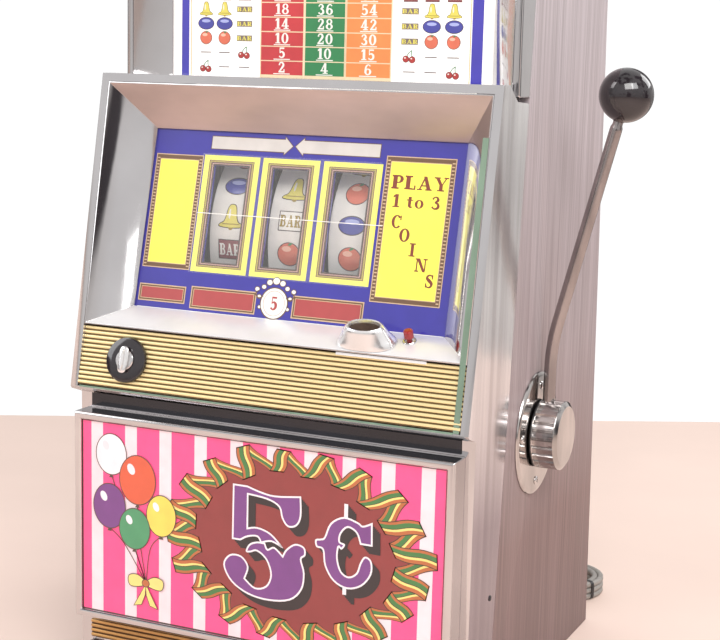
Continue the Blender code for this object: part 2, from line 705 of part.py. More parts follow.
def make_award_front():
    top = CABINET_HEIGHT - 0.001
    window = HALF - AWARD_WINDOW_SIDE
    window_top = CABINET_HEIGHT - AWARD_TOP_MARGIN
    rim = AWARD_RIM
    wall = SHEET
    deep = AWARD_GLASS_SETBACK
    loops = [
        award_loop(HALF, AWARD_BOTTOM, top),
        award_loop(HALF, AWARD_BOTTOM, top, AWARD_SETBACK + 0.0015),
        award_loop(HALF - 0.0015, AWARD_BOTTOM + 0.0015, top - 0.0015, AWARD_SETBACK),
        award_loop(HALF - rim, AWARD_BOTTOM + 0.0045, top - rim, AWARD_SETBACK),
        award_loop(window, AWARD_WINDOW_BOTTOM, window_top, deep),
        award_loop(window, AWARD_WINDOW_BOTTOM, window_top, deep + SPLAY_WALL),
        award_loop(window + 2 * SPLAY_WALL, AWARD_WINDOW_BOTTOM - SPLAY_WALL, window_top + SPLAY_WALL,
                   deep + SPLAY_WALL),
        award_loop(HALF - wall, AWARD_BOTTOM + wall, top - wall, AWARD_SETBACK + wall),
        award_loop(HALF - wall, AWARD_BOTTOM + wall, top - wall),
    ]
    solid("award_frame", *rings_shape(loops), "chrome")
    face = at(deep + SPLAY_WALL) + GAP
    half = window + SPLAY_WALL
    low = (-half, face, AWARD_WINDOW_BOTTOM - SPLAY_WALL)
    high = (half, face + GLASS, window_top + SPLAY_WALL)
    solid("award_glass", *box_shape(low, high), "award_print")


# ---------------------------------------------------------------- lamps

LAMP_RADIUS = 0.008
LAMP_PIN = 0.003
EAR = 0.024


def make_lamp(name, middle, half_rail, parent=None, half_lamp=0.150):
    """A lamp tube held by its end pins in the ears of a rail that spans the casing."""
    y, z = middle
    ear_in = half_lamp + 0.002
    rail_y = y + EAR
    rail = solid(f"{name}_holder", *box_shape((-half_rail, rail_y, z - 0.009), (half_rail, rail_y + THIN, z + 0.009)),
                 "steel", parent)
    for number, sign in enumerate((-1, 1)):
        edges = sorted((sign * ear_in, sign * (ear_in + 0.002)))
        ear = box_shape((edges[0], y - 0.007, z - 0.007), (edges[1], rail_y + THIN / 2, z + 0.007))
        join_into(rail, f"{name}_ear_{number}", ear)
    reach = ear_in + 0.004
    hole = turned_shape([(0, -reach), (LAMP_PIN + GAP, -reach), (LAMP_PIN + GAP, reach), (0, reach)], 12)
    cut_from(rail, f"cut_{name}_pins", hole, moved(0, y, z))
    pin = reach - 0.001
    shape = [(0, -pin), (LAMP_PIN, -pin), (LAMP_PIN, -half_lamp), (LAMP_RADIUS, -half_lamp), (LAMP_RADIUS, half_lamp),
             (LAMP_PIN, half_lamp), (LAMP_PIN, pin), (0, pin)]
    solid(name, *turned_shape(shape, 12), "lamp_white", parent, moved(0, y, z), True)


def make_lamps(door):
    belly_middle = (BELLY_BOTTOM + BELLY_TOP) / 2
    span = min(0.150, INSIDE - 0.040)
    make_lamp("belly_lamp", (at(0.045), belly_middle), HALF - SHEET - GAP, door, span)
    make_lamp("reel_lamp", (seam(DOOR_BACK_TOP) + 0.014, GLASS_HIGH[1] + 0.020), INSIDE - GAP, None, span)
    award_middle = (AWARD_WINDOW_BOTTOM + CABINET_HEIGHT - AWARD_TOP_MARGIN) / 2
    make_lamp("award_lamp", (at(AWARD_GLASS_SETBACK) + 0.045, award_middle), INSIDE - GAP, None, span)


# ---------------------------------------------------------------- reels


def reel_axis():
    """(y, z) of the reel shaft: behind the middle of the glass by a reel's radius and its clearance."""
    frame, length = slope_frame(GLASS_LOW, GLASS_HIGH)
    deep = SPLAY_WALL + GAP + GLASS + REEL_CLEARANCE + REEL_RADIUS
    point = frame @ Vector((0.0, length * 0.545, -deep))
    return point.y, point.z


def reel_places():
    return [REEL_MIDDLE + (i - (REEL_COUNT - 1) / 2) * REEL_PITCH for i in range(REEL_COUNT)]


def make_reels():
    y, z = reel_axis()
    half = REEL_WIDTH / 2
    bore = REEL_SHAFT_RADIUS + GAP
    w = REEL_WALL
    boss = bore + 0.006
    profile = [
        (bore, -half), (boss, -half), (boss, -w / 2), (REEL_RADIUS - w, -w / 2), (REEL_RADIUS - w, -half),
        (REEL_RADIUS, -half), (REEL_RADIUS, half), (REEL_RADIUS - w, half), (REEL_RADIUS - w, w / 2),
        (boss, w / 2), (boss, half), (bore, half),
    ]
    for number, x in enumerate(reel_places()):
        axis = pivot(f"reel_{number + 1}_axis", (x, y, z), (1, 0, 0))
        reel = solid(f"reel_{number + 1}", *turned_shape(profile, 32), "reel_white", axis, moved(x, y, z), True)
        for spoke in range(5):
            turn = Matrix.Rotation(math.tau * spoke / 5, 4, "X")
            middle = (boss + REEL_RADIUS) / 2
            size = (REEL_RADIUS - boss) * 0.30
            hole = turned_shape([(0, -half), (size, -half), (size, half), (0, half)], 8)
            cut_from(reel, f"cut_reel_{number + 1}_{spoke}", hole, moved(x, y, z) @ turn @ moved(0, middle, 0))


def reel_frame_outline():
    """(y, z) outline of a side plate that stands on the shelf and carries both shafts."""
    y, z = reel_axis()
    foot = SHELF_HEIGHT + BOARD + GAP
    stop_y, stop_z = stop_axis()
    return [
        (y - 0.060, foot),
        (stop_y + 0.030, foot),
        (stop_y + 0.030, stop_z + 0.025),
        (stop_y - 0.020, z + 0.030),
        (y + 0.035, z + 0.055),
        (y - 0.035, z + 0.055),
        (y - 0.060, z + 0.020),
    ]


def stop_axis():
    y, z = reel_axis()
    return y + REEL_RADIUS + 0.022, z - 0.080


def frame_planes():
    """X of the inside face of the left and right frame plates."""
    return REEL_MIDDLE - FRAME_REACH, REEL_MIDDLE + FRAME_REACH


def make_reel_frames():
    left, right = frame_planes()
    y, z = reel_axis()
    stop_y, stop_z = stop_axis()
    for name, inner, sign in (("reel_frame_left", left, -1), ("reel_frame_right", right, 1)):
        edges = sorted((inner, inner + sign * FRAME_PLATE))
        plate = solid(name, *prism_shape(reel_frame_outline(), *edges), "steel")
        foot = SHELF_HEIGHT + BOARD + GAP
        flange = sorted((inner, inner + sign * 0.014))
        low = (flange[0], y - 0.060, foot)
        high = (flange[1], stop_y + 0.030, foot + FRAME_PLATE)
        join_into(plate, f"{name}_flange", box_shape(low, high))
        for tag, (hole_y, hole_z), radius in (
            ("reel", (y, z), REEL_SHAFT_RADIUS + GAP),
            ("stop", (stop_y, stop_z), STOP_SHAFT_RADIUS + GAP),
        ):
            reach = 4 * FRAME_PLATE
            hole = turned_shape([(0, -reach), (radius, -reach), (radius, reach), (0, reach)], 16)
            cut_from(plate, f"cut_{name}_{tag}", hole, moved(inner, hole_y, hole_z))
    reach = FRAME_REACH + FRAME_PLATE + 0.003
    for name, (shaft_y, shaft_z), radius in (
        ("reel_shaft", (y, z), REEL_SHAFT_RADIUS),
        ("stop_shaft", (stop_y, stop_z), STOP_SHAFT_RADIUS),
    ):
        bar = turned_shape([(0, -reach), (radius, -reach), (radius, reach), (0, reach)], 16)
        solid(name, *bar, "steel", None, moved(REEL_MIDDLE, shaft_y, shaft_z), True)


def make_reel_stops():
    """One stop lever per reel, whose tip lies just off the reel's rim."""
    y, z = reel_axis()
    stop_y, stop_z = stop_axis()
    thick = 0.004
    bore = STOP_SHAFT_RADIUS + GAP
    tip_y = y + REEL_RADIUS + 0.0006
    arm = [
        (stop_y - 0.0055, stop_z),
        (stop_y + 0.0055, stop_z),
        (tip_y + 0.010, z - 0.004),
        (tip_y + 0.008, z + 0.003),
        (tip_y, z + 0.002),
        (tip_y, z - 0.002),
        (tip_y + 0.004, z - 0.008),
    ]
    for number, x in enumerate(reel_places()):
        axis = pivot(f"reel_stop_{number + 1}_axis", (x, stop_y, stop_z), (1, 0, 0))
        boss = turned_shape([(bore, -0.006), (0.009, -0.006), (0.009, 0.006), (bore, 0.006)], 16)
        lever = solid(f"reel_stop_{number + 1}", *boss, "brass", axis, moved(x, stop_y, stop_z))
        join_into(lever, f"join_stop_arm_{number + 1}", prism_shape(arm, x - thick / 2, x + thick / 2))
        hole = turned_shape([(0, -0.02), (bore, -0.02), (bore, 0.02), (0, 0.02)], 16)
        cut_from(lever, f"cut_stop_bore_{number + 1}", hole, moved(x, stop_y, stop_z))


# ---------------------------------------------------------------- coins: chute, tube, payout, cash box

TUBE_X = INSIDE - 0.0265
TUBE_SETBACK = 0.156
TUBE_RADIUS = 0.0170
TUBE_BORE = 0.0145
LANE_SETBACK = 0.045
LANE_HEIGHT = 0.3443
LANE_SLOPE = 0.10
LANE_HALF = 0.0135
TUBE_FOOT = 0.021
TUBE_BLOCK = 0.014
SLIDE_THICK = 0.003
SLIDE_TRAVEL = 0.012
CHUTE_X = TUBE_X
CHUTE_HALF = 0.020
CHUTE_DEPTH = 0.036
CHUTE_BACK = 0.164
CHUTE_MOUTH = 0.0905


def make_coin_tube():
    """A tube on a foot block that stands on the shelf and guides the payout slide."""
    floor = SHELF_HEIGHT + BOARD + GAP
    y = at(TUBE_SETBACK)
    low = (TUBE_X - TUBE_FOOT, y - TUBE_FOOT, floor)
    high = (TUBE_X + TUBE_FOOT, y + TUBE_FOOT, floor + TUBE_BLOCK)
    tube = solid("coin_tube", *box_shape(low, high), "brass")
    rise = lane_bottom() - LANE_SLOPE * TUBE_RADIUS - GAP - floor - 0.004
    wall = turned_shape([(0, 0), (TUBE_RADIUS, 0), (TUBE_RADIUS, rise), (0, rise)], 24)
    upright = moved(TUBE_X, y, floor + 0.004) @ Matrix.Rotation(-math.pi / 2, 4, "Y")
    join_into(tube, "join_tube_wall", wall, upright)
    bore = turned_shape([(0, -0.02), (TUBE_BORE, -0.02), (TUBE_BORE, 0.2), (0, 0.2)], 24)
    cut_from(tube, "cut_tube_bore", bore, upright)
    half = TUBE_FOOT - 0.005
    groove = box_shape((TUBE_X - half, y - 0.1, floor + 0.003), (TUBE_X + half, y + 0.1, floor + 0.003 + SLIDE_THICK + 2 * GAP))
    cut_from(tube, "cut_slide_groove", groove)


def make_payout_slide():
    """The plate under the tube of coins, which pushes the lowest one over the chute."""
    floor = SHELF_HEIGHT + BOARD + GAP
    y = at(TUBE_SETBACK)
    axis = pivot("payout_slide_axis", (TUBE_X, y, floor + 0.003), (0, -1, 0))
    half = TUBE_FOOT - 0.005 - GAP
    low = (TUBE_X - half, y - 0.026, floor + 0.003 + GAP)
    high = (TUBE_X + half, y + 0.062, floor + 0.003 + GAP + SLIDE_THICK)
    slide = solid("payout_slide", *box_shape(low, high), "steel", axis)
    tab = box_shape((TUBE_X - 0.006, y + 0.058, low[2]), (TUBE_X + 0.006, y + 0.062, low[2] + 0.016))
    join_into(slide, "join_slide_tab", tab)


def make_payout_chute():
    """A duct from the hole in the shelf down and forwards to the back of the payout cup."""
    top = SHELF_HEIGHT - GAP
    rear = at(CHUTE_BACK)
    front = rear - CHUTE_DEPTH
    mouth = at(CHUTE_MOUTH)
    foot = BOARD + GAP
    outer = [(front, top), (rear, top), (rear, 0.090), (mouth + 0.016, foot), (mouth, foot), (mouth, 0.056), (front, 0.100)]
    chute = solid("payout_chute", *prism_shape(outer, CHUTE_X - CHUTE_HALF, CHUTE_X + CHUTE_HALF), "steel")
    w = THIN
    inner = [(front + w, top + w), (rear - w, top + w), (rear - w, 0.0905), (mouth + 0.0145, foot + 0.004),
             (mouth - w, foot + 0.0035), (mouth - w, 0.056 - w), (mouth + w / 2, 0.056 - w), (front + w, 0.100 - w)]
    cut_from(chute, "cut_chute_duct", prism_shape(inner, CHUTE_X - CHUTE_HALF + w, CHUTE_X + CHUTE_HALF - w))


def lane_box(start, end, half, lift, height):
    """A sloping box along the lane from the coin entry to the coin tube."""
    slot = Vector((COIN_X, at(LANE_SETBACK)))
    tube = Vector((TUBE_X, at(TUBE_SETBACK)))
    along = (tube - slot).normalized()
    across = Vector((along.y, -along.x))
    points = []
    for distance in (start, (tube - slot).length + end):
        for side in (-half, half):
            x, y = slot + along * distance + across * side
            bottom = LANE_HEIGHT - LANE_SLOPE * distance + lift
            points += [(x, y, bottom), (x, y, bottom + height)]
    faces = [(0, 1, 3, 2), (4, 6, 7, 5), (0, 4, 5, 1), (2, 3, 7, 6), (0, 2, 6, 4), (1, 5, 7, 3)]
    return points, faces


def lane_bottom():
    """Height of the lane's underside over the tube."""
    length = math.hypot(TUBE_X - COIN_X, TUBE_SETBACK - LANE_SETBACK)
    return LANE_HEIGHT - LANE_SLOPE * length


def make_coin_run():
    """A sloping trough from under the coin entry to over the coin tube, with a tab on the cabinet side."""
    run = solid("coin_run", *lane_box(-0.012, 0.016, LANE_HALF, 0.0, 0.012), "steel")
    level = lane_bottom()
    y = at(TUBE_SETBACK)
    tab = box_shape((TUBE_X + 0.008, y + 0.002, level), (INSIDE - GAP, y + 0.014, level + 0.009))
    join_into(run, "join_run_tab", tab)
    w = THIN
    cut_from(run, "cut_run_trough", lane_box(-0.012 + w, 0.016 - w, LANE_HALF - w, w, 0.03))
    drop = turned_shape([(0, -0.02), (0.0115, -0.02), (0.0115, 0.02), (0, 0.02)], 16)
    upright = moved(TUBE_X, y, level) @ Matrix.Rotation(-math.pi / 2, 4, "Y")
    cut_from(run, "cut_run_drop", drop, upright)


CASH_HALF = 0.115
CASH_MIDDLE = -0.050
CASH_FRONT = 0.130
CASH_REAR = 0.370
CASH_HEIGHT = 0.120


def make_cash_box():
    floor = BOARD + GAP
    low = (CASH_MIDDLE - CASH_HALF, at(CASH_FRONT), floor)
    high = (CASH_MIDDLE + CASH_HALF, at(CASH_REAR), floor + CASH_HEIGHT)
    cash = solid("cash_box", *box_shape(low, high), "steel")
    w = THIN
    inner = box_shape((low[0] + w, low[1] + w, low[2] + w), (high[0] - w, high[1] - w, high[2] + w))
    cut_from(cash, "cut_cash_inside", inner)


def make_transformer():
    """A laminated core on a foot plate, with its winding."""
    floor = SHELF_HEIGHT + BOARD + GAP
    x, y = INSIDE - 0.052, at(0.325)
    foot = solid("transformer", *box_shape((x - 0.040, y - 0.026, floor), (x + 0.040, y + 0.026, floor + 0.003)),
                 "transformer_green")
    core = box_shape((x - 0.032, y - 0.018, floor + 0.002), (x + 0.032, y + 0.018, floor + 0.056))
    join_into(foot, "join_core", core)
    winding = box_shape((x - 0.018, y - 0.028, floor + 0.014), (x + 0.018, y + 0.028, floor + 0.044))
    join_into(foot, "join_winding", winding)


# ---------------------------------------------------------------- pull handle


def handle_places():
    """(x, y, z) of the hub's base, the bend and the ball."""
    plate = HALF + GAP + SHEET
    base = plate + THIN
    rod = base + ROD_RADIUS + ROD_INSET
    y = at(HANDLE_SETBACK)
    bend = Vector((rod, y, HANDLE_HEIGHT + ROD_STRAIGHT))
    rise = BALL_HEIGHT - ROD_STRAIGHT
    ball = bend + Vector((ROD_LEAN * rise, 0.0, rise))
    return base, bend, ball


def make_handle():
    y, z = at(HANDLE_SETBACK), HANDLE_HEIGHT
    bush = SHAFT_RADIUS + BUSH_WALL
    plate = HALF + GAP
    disc = [(HANDLE_PLATE_RADIUS, plate), (HANDLE_PLATE_RADIUS, plate + SHEET - 0.001),
            (HANDLE_PLATE_RADIUS - 0.002, plate + SHEET), (bush + GAP, plate + SHEET), (bush + GAP, plate)]
    solid("handle_plate", *turned_shape(disc, 36), "chrome", None, moved(0, y, z), True)
    base, bend, ball = handle_places()
    inner = INSIDE - GAP
    sleeve = [(bush, inner), (bush, base - GAP), (SHAFT_RADIUS + GAP, base - GAP), (SHAFT_RADIUS + GAP, inner - 0.010),
              (bush + 0.008, inner - 0.010), (bush + 0.008, inner)]
    solid("handle_bush", *turned_shape(sleeve, 24), "brass", None, moved(0, y, z), True)
    axis = pivot("handle_axis", (HALF, y, z), (1, 0, 0))
    make_handle_shaft(axis, base)
    make_handle_hub(axis, base)
    make_handle_rod(axis, bend, ball)


def make_handle_shaft(axis, base):
    y, z = at(HANDLE_SETBACK), HANDLE_HEIGHT
    end = INSIDE - 0.034
    bar = turned_shape([(0, end), (SHAFT_RADIUS, end), (SHAFT_RADIUS, base + HUB_LENGTH * 0.7), (0, base + HUB_LENGTH * 0.7)], 24)
    shaft = solid("handle_shaft", *bar, "steel", axis, moved(0, y, z), True)
    reach = 0.055
    arm = box_shape((end + 0.001, y, z - 0.006), (end + 0.009, y + reach, z + 0.006))
    join_into(shaft, "join_crank_arm", arm)
    boss = turned_shape([(0, end + 0.0005), (0.009, end + 0.0005), (0.009, end + 0.0095), (0, end + 0.0095)], 16)
    join_into(shaft, "join_crank_boss", boss, moved(0, y + reach, z))


def make_handle_hub(axis, base):
    y, z = at(HANDLE_SETBACK), HANDLE_HEIGHT
    end = base + HUB_LENGTH
    bore = SHAFT_RADIUS + GAP
    deep = base + HUB_LENGTH * 0.7 + GAP
    profile = [(bore, base), (HUB_RADIUS - 0.001, base), (HUB_RADIUS, base + 0.001), (HUB_RADIUS, end - 0.005),
               (HUB_RADIUS - 0.006, end - 0.001), (HUB_RADIUS - 0.010, end), (0, end), (0, deep), (bore, deep)]
    points, faces = turned_shape(profile, 40)
    hub = solid("handle_hub", points, faces, "chrome", axis, moved(0, y, z), True)
    hole = turned_shape([(0, SHAFT_RADIUS), (ROD_RADIUS + GAP, SHAFT_RADIUS), (ROD_RADIUS + GAP, 0.06), (0, 0.06)], 24)
    socket = moved(base + ROD_RADIUS + ROD_INSET, y, z) @ Matrix.Rotation(-math.pi / 2, 4, "Y")
    cut_from(hub, "cut_rod_socket", hole, socket)


def make_handle_rod(axis, bend, ball):
    """A straight rod, bent outwards, with a tapered end that carries the ball."""
    low = Vector((bend.x, bend.y, HANDLE_HEIGHT + SHAFT_RADIUS + 2 * GAP))
    lean = (ball - bend).normalized()
    seat = ball - lean * BALL_RADIUS * 0.45
    curve = bpy.data.curves.new("handle_rod", "CURVE")
    curve.dimensions = "3D"
    curve.bevel_depth = ROD_RADIUS
    curve.bevel_resolution = 3
    curve.use_fill_caps = True
    line = curve.splines.new("POLY")
    soft = 0.022
    route = [low, bend - Vector((0, 0, soft))]
    steps = 4
    for i in range(1, steps):
        t = i / steps
        start = (1 - t) ** 2 * (bend - Vector((0, 0, soft)))
        route.append(start + 2 * t * (1 - t) * bend + t * t * (bend + lean * soft))
    route += [bend + lean * soft, seat]
    line.points.add(len(route) - 1)
    for point, place_at in zip(line.points, route):
        point.co = (*place_at, 1.0)
    curve.materials.append(material("steel"))
    rod = bpy.data.objects.new("handle_rod", curve)
    bpy.context.scene.collection.objects.link(rod)
    place(rod, axis)
    rings = 10
    profile = [(0, -BALL_RADIUS)]
    profile += [(BALL_RADIUS * math.sin(math.pi * i / rings), -BALL_RADIUS * math.cos(math.pi * i / rings))
                for i in range(1, rings)]
    profile.append((0, BALL_RADIUS))
    turn = lean.to_track_quat("X", "Y").to_matrix().to_4x4()
    knob = solid("handle_ball", *turned_shape(profile, 20), "black_plastic", axis, Matrix.Translation(ball) @ turn, True)
    bore = ROD_RADIUS + GAP
    hole = turned_shape([(0, -2 * BALL_RADIUS), (bore, -2 * BALL_RADIUS), (bore, -0.44 * BALL_RADIUS), (0, -0.44 * BALL_RADIUS)], 16)
    cut_from(knob, "cut_ball_socket", hole, Matrix.Translation(ball) @ turn)


# ---------------------------------------------------------------- rear door

REAR_BARREL_X = -(INSIDE + 0.0030)
REAR_LOCK = (INSIDE - 0.036, 0.420)
REAR_KNUCKLES_DOOR = ((0.141, 0.380), (0.461, 0.640))
REAR_KNUCKLES_FIXED = ((0.100, 0.140), (0.381, 0.460))


def rear_frame():
    """On the back face: X across, Y up it, Z out of it to the rear, origin at the floor."""
    along = Vector((0.0, -math.sin(BACK_ANGLE), math.cos(BACK_ANGLE)))
    frame = Matrix.Identity(4)
    frame.col[0] = (-1.0, 0.0, 0.0, 0.0)
    frame.col[1] = (*along, 0.0)
    frame.col[2] = (0.0, math.cos(BACK_ANGLE), math.sin(BACK_ANGLE), 0.0)
    frame.col[3] = (0.0, back(0), 0.0, 1.0)
    return frame


def make_rear_door():
    frame = rear_frame()
    origin = frame @ Vector((-REAR_BARREL_X, 0.0, BARREL_RADIUS + HINGE_CLEAR))
    axis = pivot("rear_door_axis", origin, frame.col[1].to_3d())
    half = INSIDE - 0.0008
    low = REAR_RAIL_TOP + 0.0015
    high = (CABINET_HEIGHT - BOARD - 0.002) / math.cos(BACK_ANGLE)
    door = solid("rear_door", *box_shape((-half, low, -REAR_DOOR), (half, high, 0.0)), "wood_laminate", axis, frame)
    lock = frame @ moved(-REAR_LOCK[0], REAR_LOCK[1]) @ Matrix.Rotation(-math.pi / 2, 4, "Y")
    radius = 0.008
    hole = turned_shape([(0, -0.03), (radius + GAP, -0.03), (radius + GAP, 0.03), (0, 0.03)], 24)
    cut_from(door, "cut_rear_lock_hole", hole, lock)
    lock_axis = pivot("rear_lock_axis", lock.translation, frame.col[2].to_3d())
    place(lock_axis, axis)
    deep = -REAR_DOOR - 0.006
    profile = [(0, deep), (radius, deep), (radius, GAP), (radius + 0.003, GAP), (radius + 0.003, 0.0025),
               (radius + 0.002, 0.0035), (0, 0.0035)]
    barrel = solid("rear_lock", *turned_shape(profile, 24), "chrome", lock_axis, lock, True)
    cam = box_shape((deep, -0.006, 0.0), (deep + 0.003, 0.006, 0.0))
    cam = box_shape((deep, -0.030, -0.006), (deep + 0.003, 0.0, 0.006))
    join_into(barrel, "join_rear_cam", cam, lock)
    make_rear_hinge(axis, frame)


def make_rear_hinge(axis, frame):
    """Leaves on the side board's rear edge and on the door's face, round one pin that the fixed leaf holds."""
    barrel = frame @ moved(-REAR_BARREL_X, 0.0, BARREL_RADIUS + HINGE_CLEAR)
    low_z = -(BARREL_RADIUS + HINGE_CLEAR) + GAP
    near = BARREL_RADIUS + HINGE_CLEAR
    outer = HALF - GAP + REAR_BARREL_X
    for name, knuckles, edge, parent in (
        ("rear_hinge_leaf", REAR_KNUCKLES_FIXED + ((REAR_KNUCKLES_DOOR[1][1] + 0.001, 0.690),), outer, None),
        ("rear_door_leaf", REAR_KNUCKLES_DOOR, -HINGE_LEAF, axis),
    ):
        sign = 1 if edge > 0 else -1
        edges = sorted((sign * near, edge))
        start, end = knuckles[0][0], knuckles[-1][1]
        leaf = solid(name, *box_shape((edges[0], start, low_z), (edges[1], end, low_z + THIN)), "steel", parent, barrel)
        for number, (a, b) in enumerate(knuckles):
            reach = sorted((sign * (HINGE_PIN_RADIUS + 2 * GAP), sign * (near + GAP)))
            join_into(leaf, f"{name}_bridge_{number}", box_shape((reach[0], a, low_z), (reach[1], b, low_z + THIN)), barrel)
            join_into(leaf, f"{name}_knuckle_{number}", knuckle_shape(a, b, bool(parent)), barrel)
    start, end = REAR_KNUCKLES_FIXED[0][0] + GAP, 0.690 - GAP
    pin = turned_shape([(0, start), (HINGE_PIN_RADIUS, start), (HINGE_PIN_RADIUS, end), (0, end)], 12)
    points = [(z, x, y) for x, y, z in pin[0]]
    join_into(bpy.data.objects["rear_hinge_leaf"], "join_rear_pin", (points, pin[1]), barrel)


# ---------------------------------------------------------------- power cord

GLAND_X = -0.030
GLAND_HEIGHT = 0.034
GLAND_RADIUS = 0.0085
GLAND_LENGTH = 0.028
CORD_ROUTE = (  # from the gland down to the floor and along it to the coil; (x, setback, z)
    (-0.0290, 0.4540, 0.0330),
    (-0.0258, 0.4636, 0.0278),
    (-0.0200, 0.4706, 0.0208),
    (-0.0116, 0.4742, 0.0142),
    (-0.0014, 0.4742, 0.0088),
    (0.0100, 0.4718, 0.0054),
    (0.0230, 0.4676, 0.0039),
    (0.0380, 0.4628, 0.0037),
    (0.0550, 0.4583, 0.0037),
    (0.0730, 0.4548, 0.0037),
    (0.0920, 0.4525, 0.0037),
    (0.1110, 0.4513, 0.0037),
    (0.1300, 0.4508, 0.0037),
    (0.1500, 0.4507, 0.0037),
)


def gland_frame():
    """Local X points out of the rear rail along the cord."""
    outward = Vector((0.0, math.cos(BACK_ANGLE), math.sin(BACK_ANGLE)))
    turn = outward.to_track_quat("X", "Z").to_matrix().to_4x4()
    return moved(GLAND_X, back(GLAND_HEIGHT), GLAND_HEIGHT) @ turn


def smooth_route(route, between):
    """Points on a Catmull-Rom curve through the route."""
    start = [gland_frame() @ Vector((GLAND_LENGTH + out, 0.0, 0.0)) for out in (GAP, 0.009)]
    points = start + [Vector((x, at(y), z)) for x, y, z in route]
    ends = [2 * points[0] - points[1]] + points + [2 * points[-1] - points[-2]]
    found = []
    for a, b, c, d in zip(ends, ends[1:], ends[2:], ends[3:]):
        for i in range(between):
            t = i / between
            found.append(0.5 * (2 * b + (c - a) * t + (2 * a - 5 * b + 4 * c - d) * t * t
                                + (3 * b - a - 3 * c + d) * t * t * t))
    return found + [points[-1]]


def make_cord():
    neck = CORD_RADIUS + GAP
    gland = [(0, -BOARD), (GLAND_RADIUS, -BOARD), (GLAND_RADIUS, GAP), (GLAND_RADIUS + 0.004, GAP), (GLAND_RADIUS + 0.004, 0.004),
             (0.0070, 0.005), (0.0052, GLAND_LENGTH), (0, GLAND_LENGTH)]
    solid("cord_gland", *turned_shape(gland, 24), "black_plastic", None, gland_frame(), True)
    curve = bpy.data.curves.new("power_cord", "CURVE")
    curve.dimensions = "3D"
    curve.bevel_depth = CORD_RADIUS
    curve.bevel_resolution = 2
    curve.use_fill_caps = True
    line = curve.splines.new("POLY")
    route = smooth_route(CORD_ROUTE, 2)
    line.points.add(len(route) - 1)
    for point, place_at in zip(line.points, route):
        point.co = (*place_at, 1.0)
    curve.materials.append(material("grey_cord"))
    cord = bpy.data.objects.new("power_cord", curve)
    bpy.context.scene.collection.objects.link(cord)
    inner = COIL_TURN_RADII[0] - CORD_RADIUS - GAP
    outer = COIL_TURN_RADII[-1] + CORD_RADIUS + GAP
    high = COIL_LAYERS * 2 * CORD_RADIUS + 2 * GAP
    ring = turned_shape([(inner, 0), (outer, 0), (outer, high), (inner, high)], 40)
    upright = moved(COIL_MIDDLE[0], at(COIL_MIDDLE[1]), GAP) @ Matrix.Rotation(-math.pi / 2, 4, "Y")
    solid("cord_coil", *ring, "grey_cord", None, upright, True)
    make_plug(neck)


def make_plug(neck):
    """A mains plug on its side, whose sleeve meets the coil's last turn."""
    y = at(COIL_MIDDLE[1]) + COIL_TURN_RADII[-1]
    turn = moved(COIL_MIDDLE[0] - PLUG_START, y, 0.0125) @ Matrix.Rotation(math.pi, 4, "Z")
    sleeve = turned_shape([(0, 0), (neck, 0), (0.0055, 0.022), (0, 0.022)], 16)
    plug = solid("mains_plug", *box_shape((0.020, -0.0185, -0.0120), (0.052, 0.0185, 0.0120)), "black_plastic", None, turn)
    join_into(plug, "join_plug_sleeve", sleeve, turn)
    for number, side in enumerate((-0.0085, 0.0085)):
        blade = box_shape((0.050, side - 0.0008, -0.0032), (0.068, side + 0.0008, 0.0032))
        join_into(plug, f"join_plug_blade_{number}", blade, turn)


PLUG_START = 0.0258


def make_machine():
    frame = raked_frame()
    along = frame.col[1].to_3d()
    door = pivot("main_door_axis", frame.translation, along)
    make_cabinet()
    make_shelf()
    make_door_shell(door)
    make_console_bezel(door)
    make_reel_glass(door)
    make_ribbed_panels(door)
    make_belly(door)
    make_payout_cup(door)
    make_coin_entry(door)
    make_coin_button(door)
    make_key_switch(door)
    make_award_front()
    make_front_hinges(door)
    make_lamps(door)
    make_reels()
    make_reel_frames()
    make_reel_stops()
    make_coin_tube()
    make_payout_slide()
    make_payout_chute()
    make_coin_run()
    make_cash_box()
    make_transformer()
    make_handle()
    make_rear_door()
    make_cord()


make_machine()
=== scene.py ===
import math

import bmesh
import bpy
from mathutils import Matrix, Vector


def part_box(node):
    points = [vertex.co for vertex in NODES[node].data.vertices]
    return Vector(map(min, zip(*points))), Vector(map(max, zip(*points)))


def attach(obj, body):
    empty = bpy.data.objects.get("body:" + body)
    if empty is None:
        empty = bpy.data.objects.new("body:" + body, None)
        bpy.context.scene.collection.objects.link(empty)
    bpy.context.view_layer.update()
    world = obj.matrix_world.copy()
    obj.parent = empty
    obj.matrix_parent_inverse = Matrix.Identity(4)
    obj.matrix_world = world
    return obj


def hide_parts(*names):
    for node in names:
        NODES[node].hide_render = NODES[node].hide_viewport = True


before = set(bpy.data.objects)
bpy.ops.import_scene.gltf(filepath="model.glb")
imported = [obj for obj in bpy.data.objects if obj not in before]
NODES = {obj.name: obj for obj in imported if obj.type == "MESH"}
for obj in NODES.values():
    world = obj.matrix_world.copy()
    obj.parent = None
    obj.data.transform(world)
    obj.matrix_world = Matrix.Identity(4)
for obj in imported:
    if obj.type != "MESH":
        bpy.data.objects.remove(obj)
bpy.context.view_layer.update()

MM = 0.001
GLASS_LOW = (-0.1515, 0.3749)  # y and z of the reel glass opening's lower edge
GLASS_HIGH = (-0.1088, 0.5480)


# Materials


def rgb(r, g, b):
    """A display colour, 0 to 255, as linear values."""
    return tuple(v / 255 / 12.92 if v <= 10 else ((v / 255 + 0.055) / 1.055) ** 2.4 for v in (r, g, b))


def feed(tree, target, inputs):
    """Gives each socket its value, or links it to the socket given."""
    for name, value in inputs.items():
        if isinstance(value, bpy.types.NodeSocket):
            tree.links.new(value, target.inputs[name])
        else:
            target.inputs[name].default_value = value


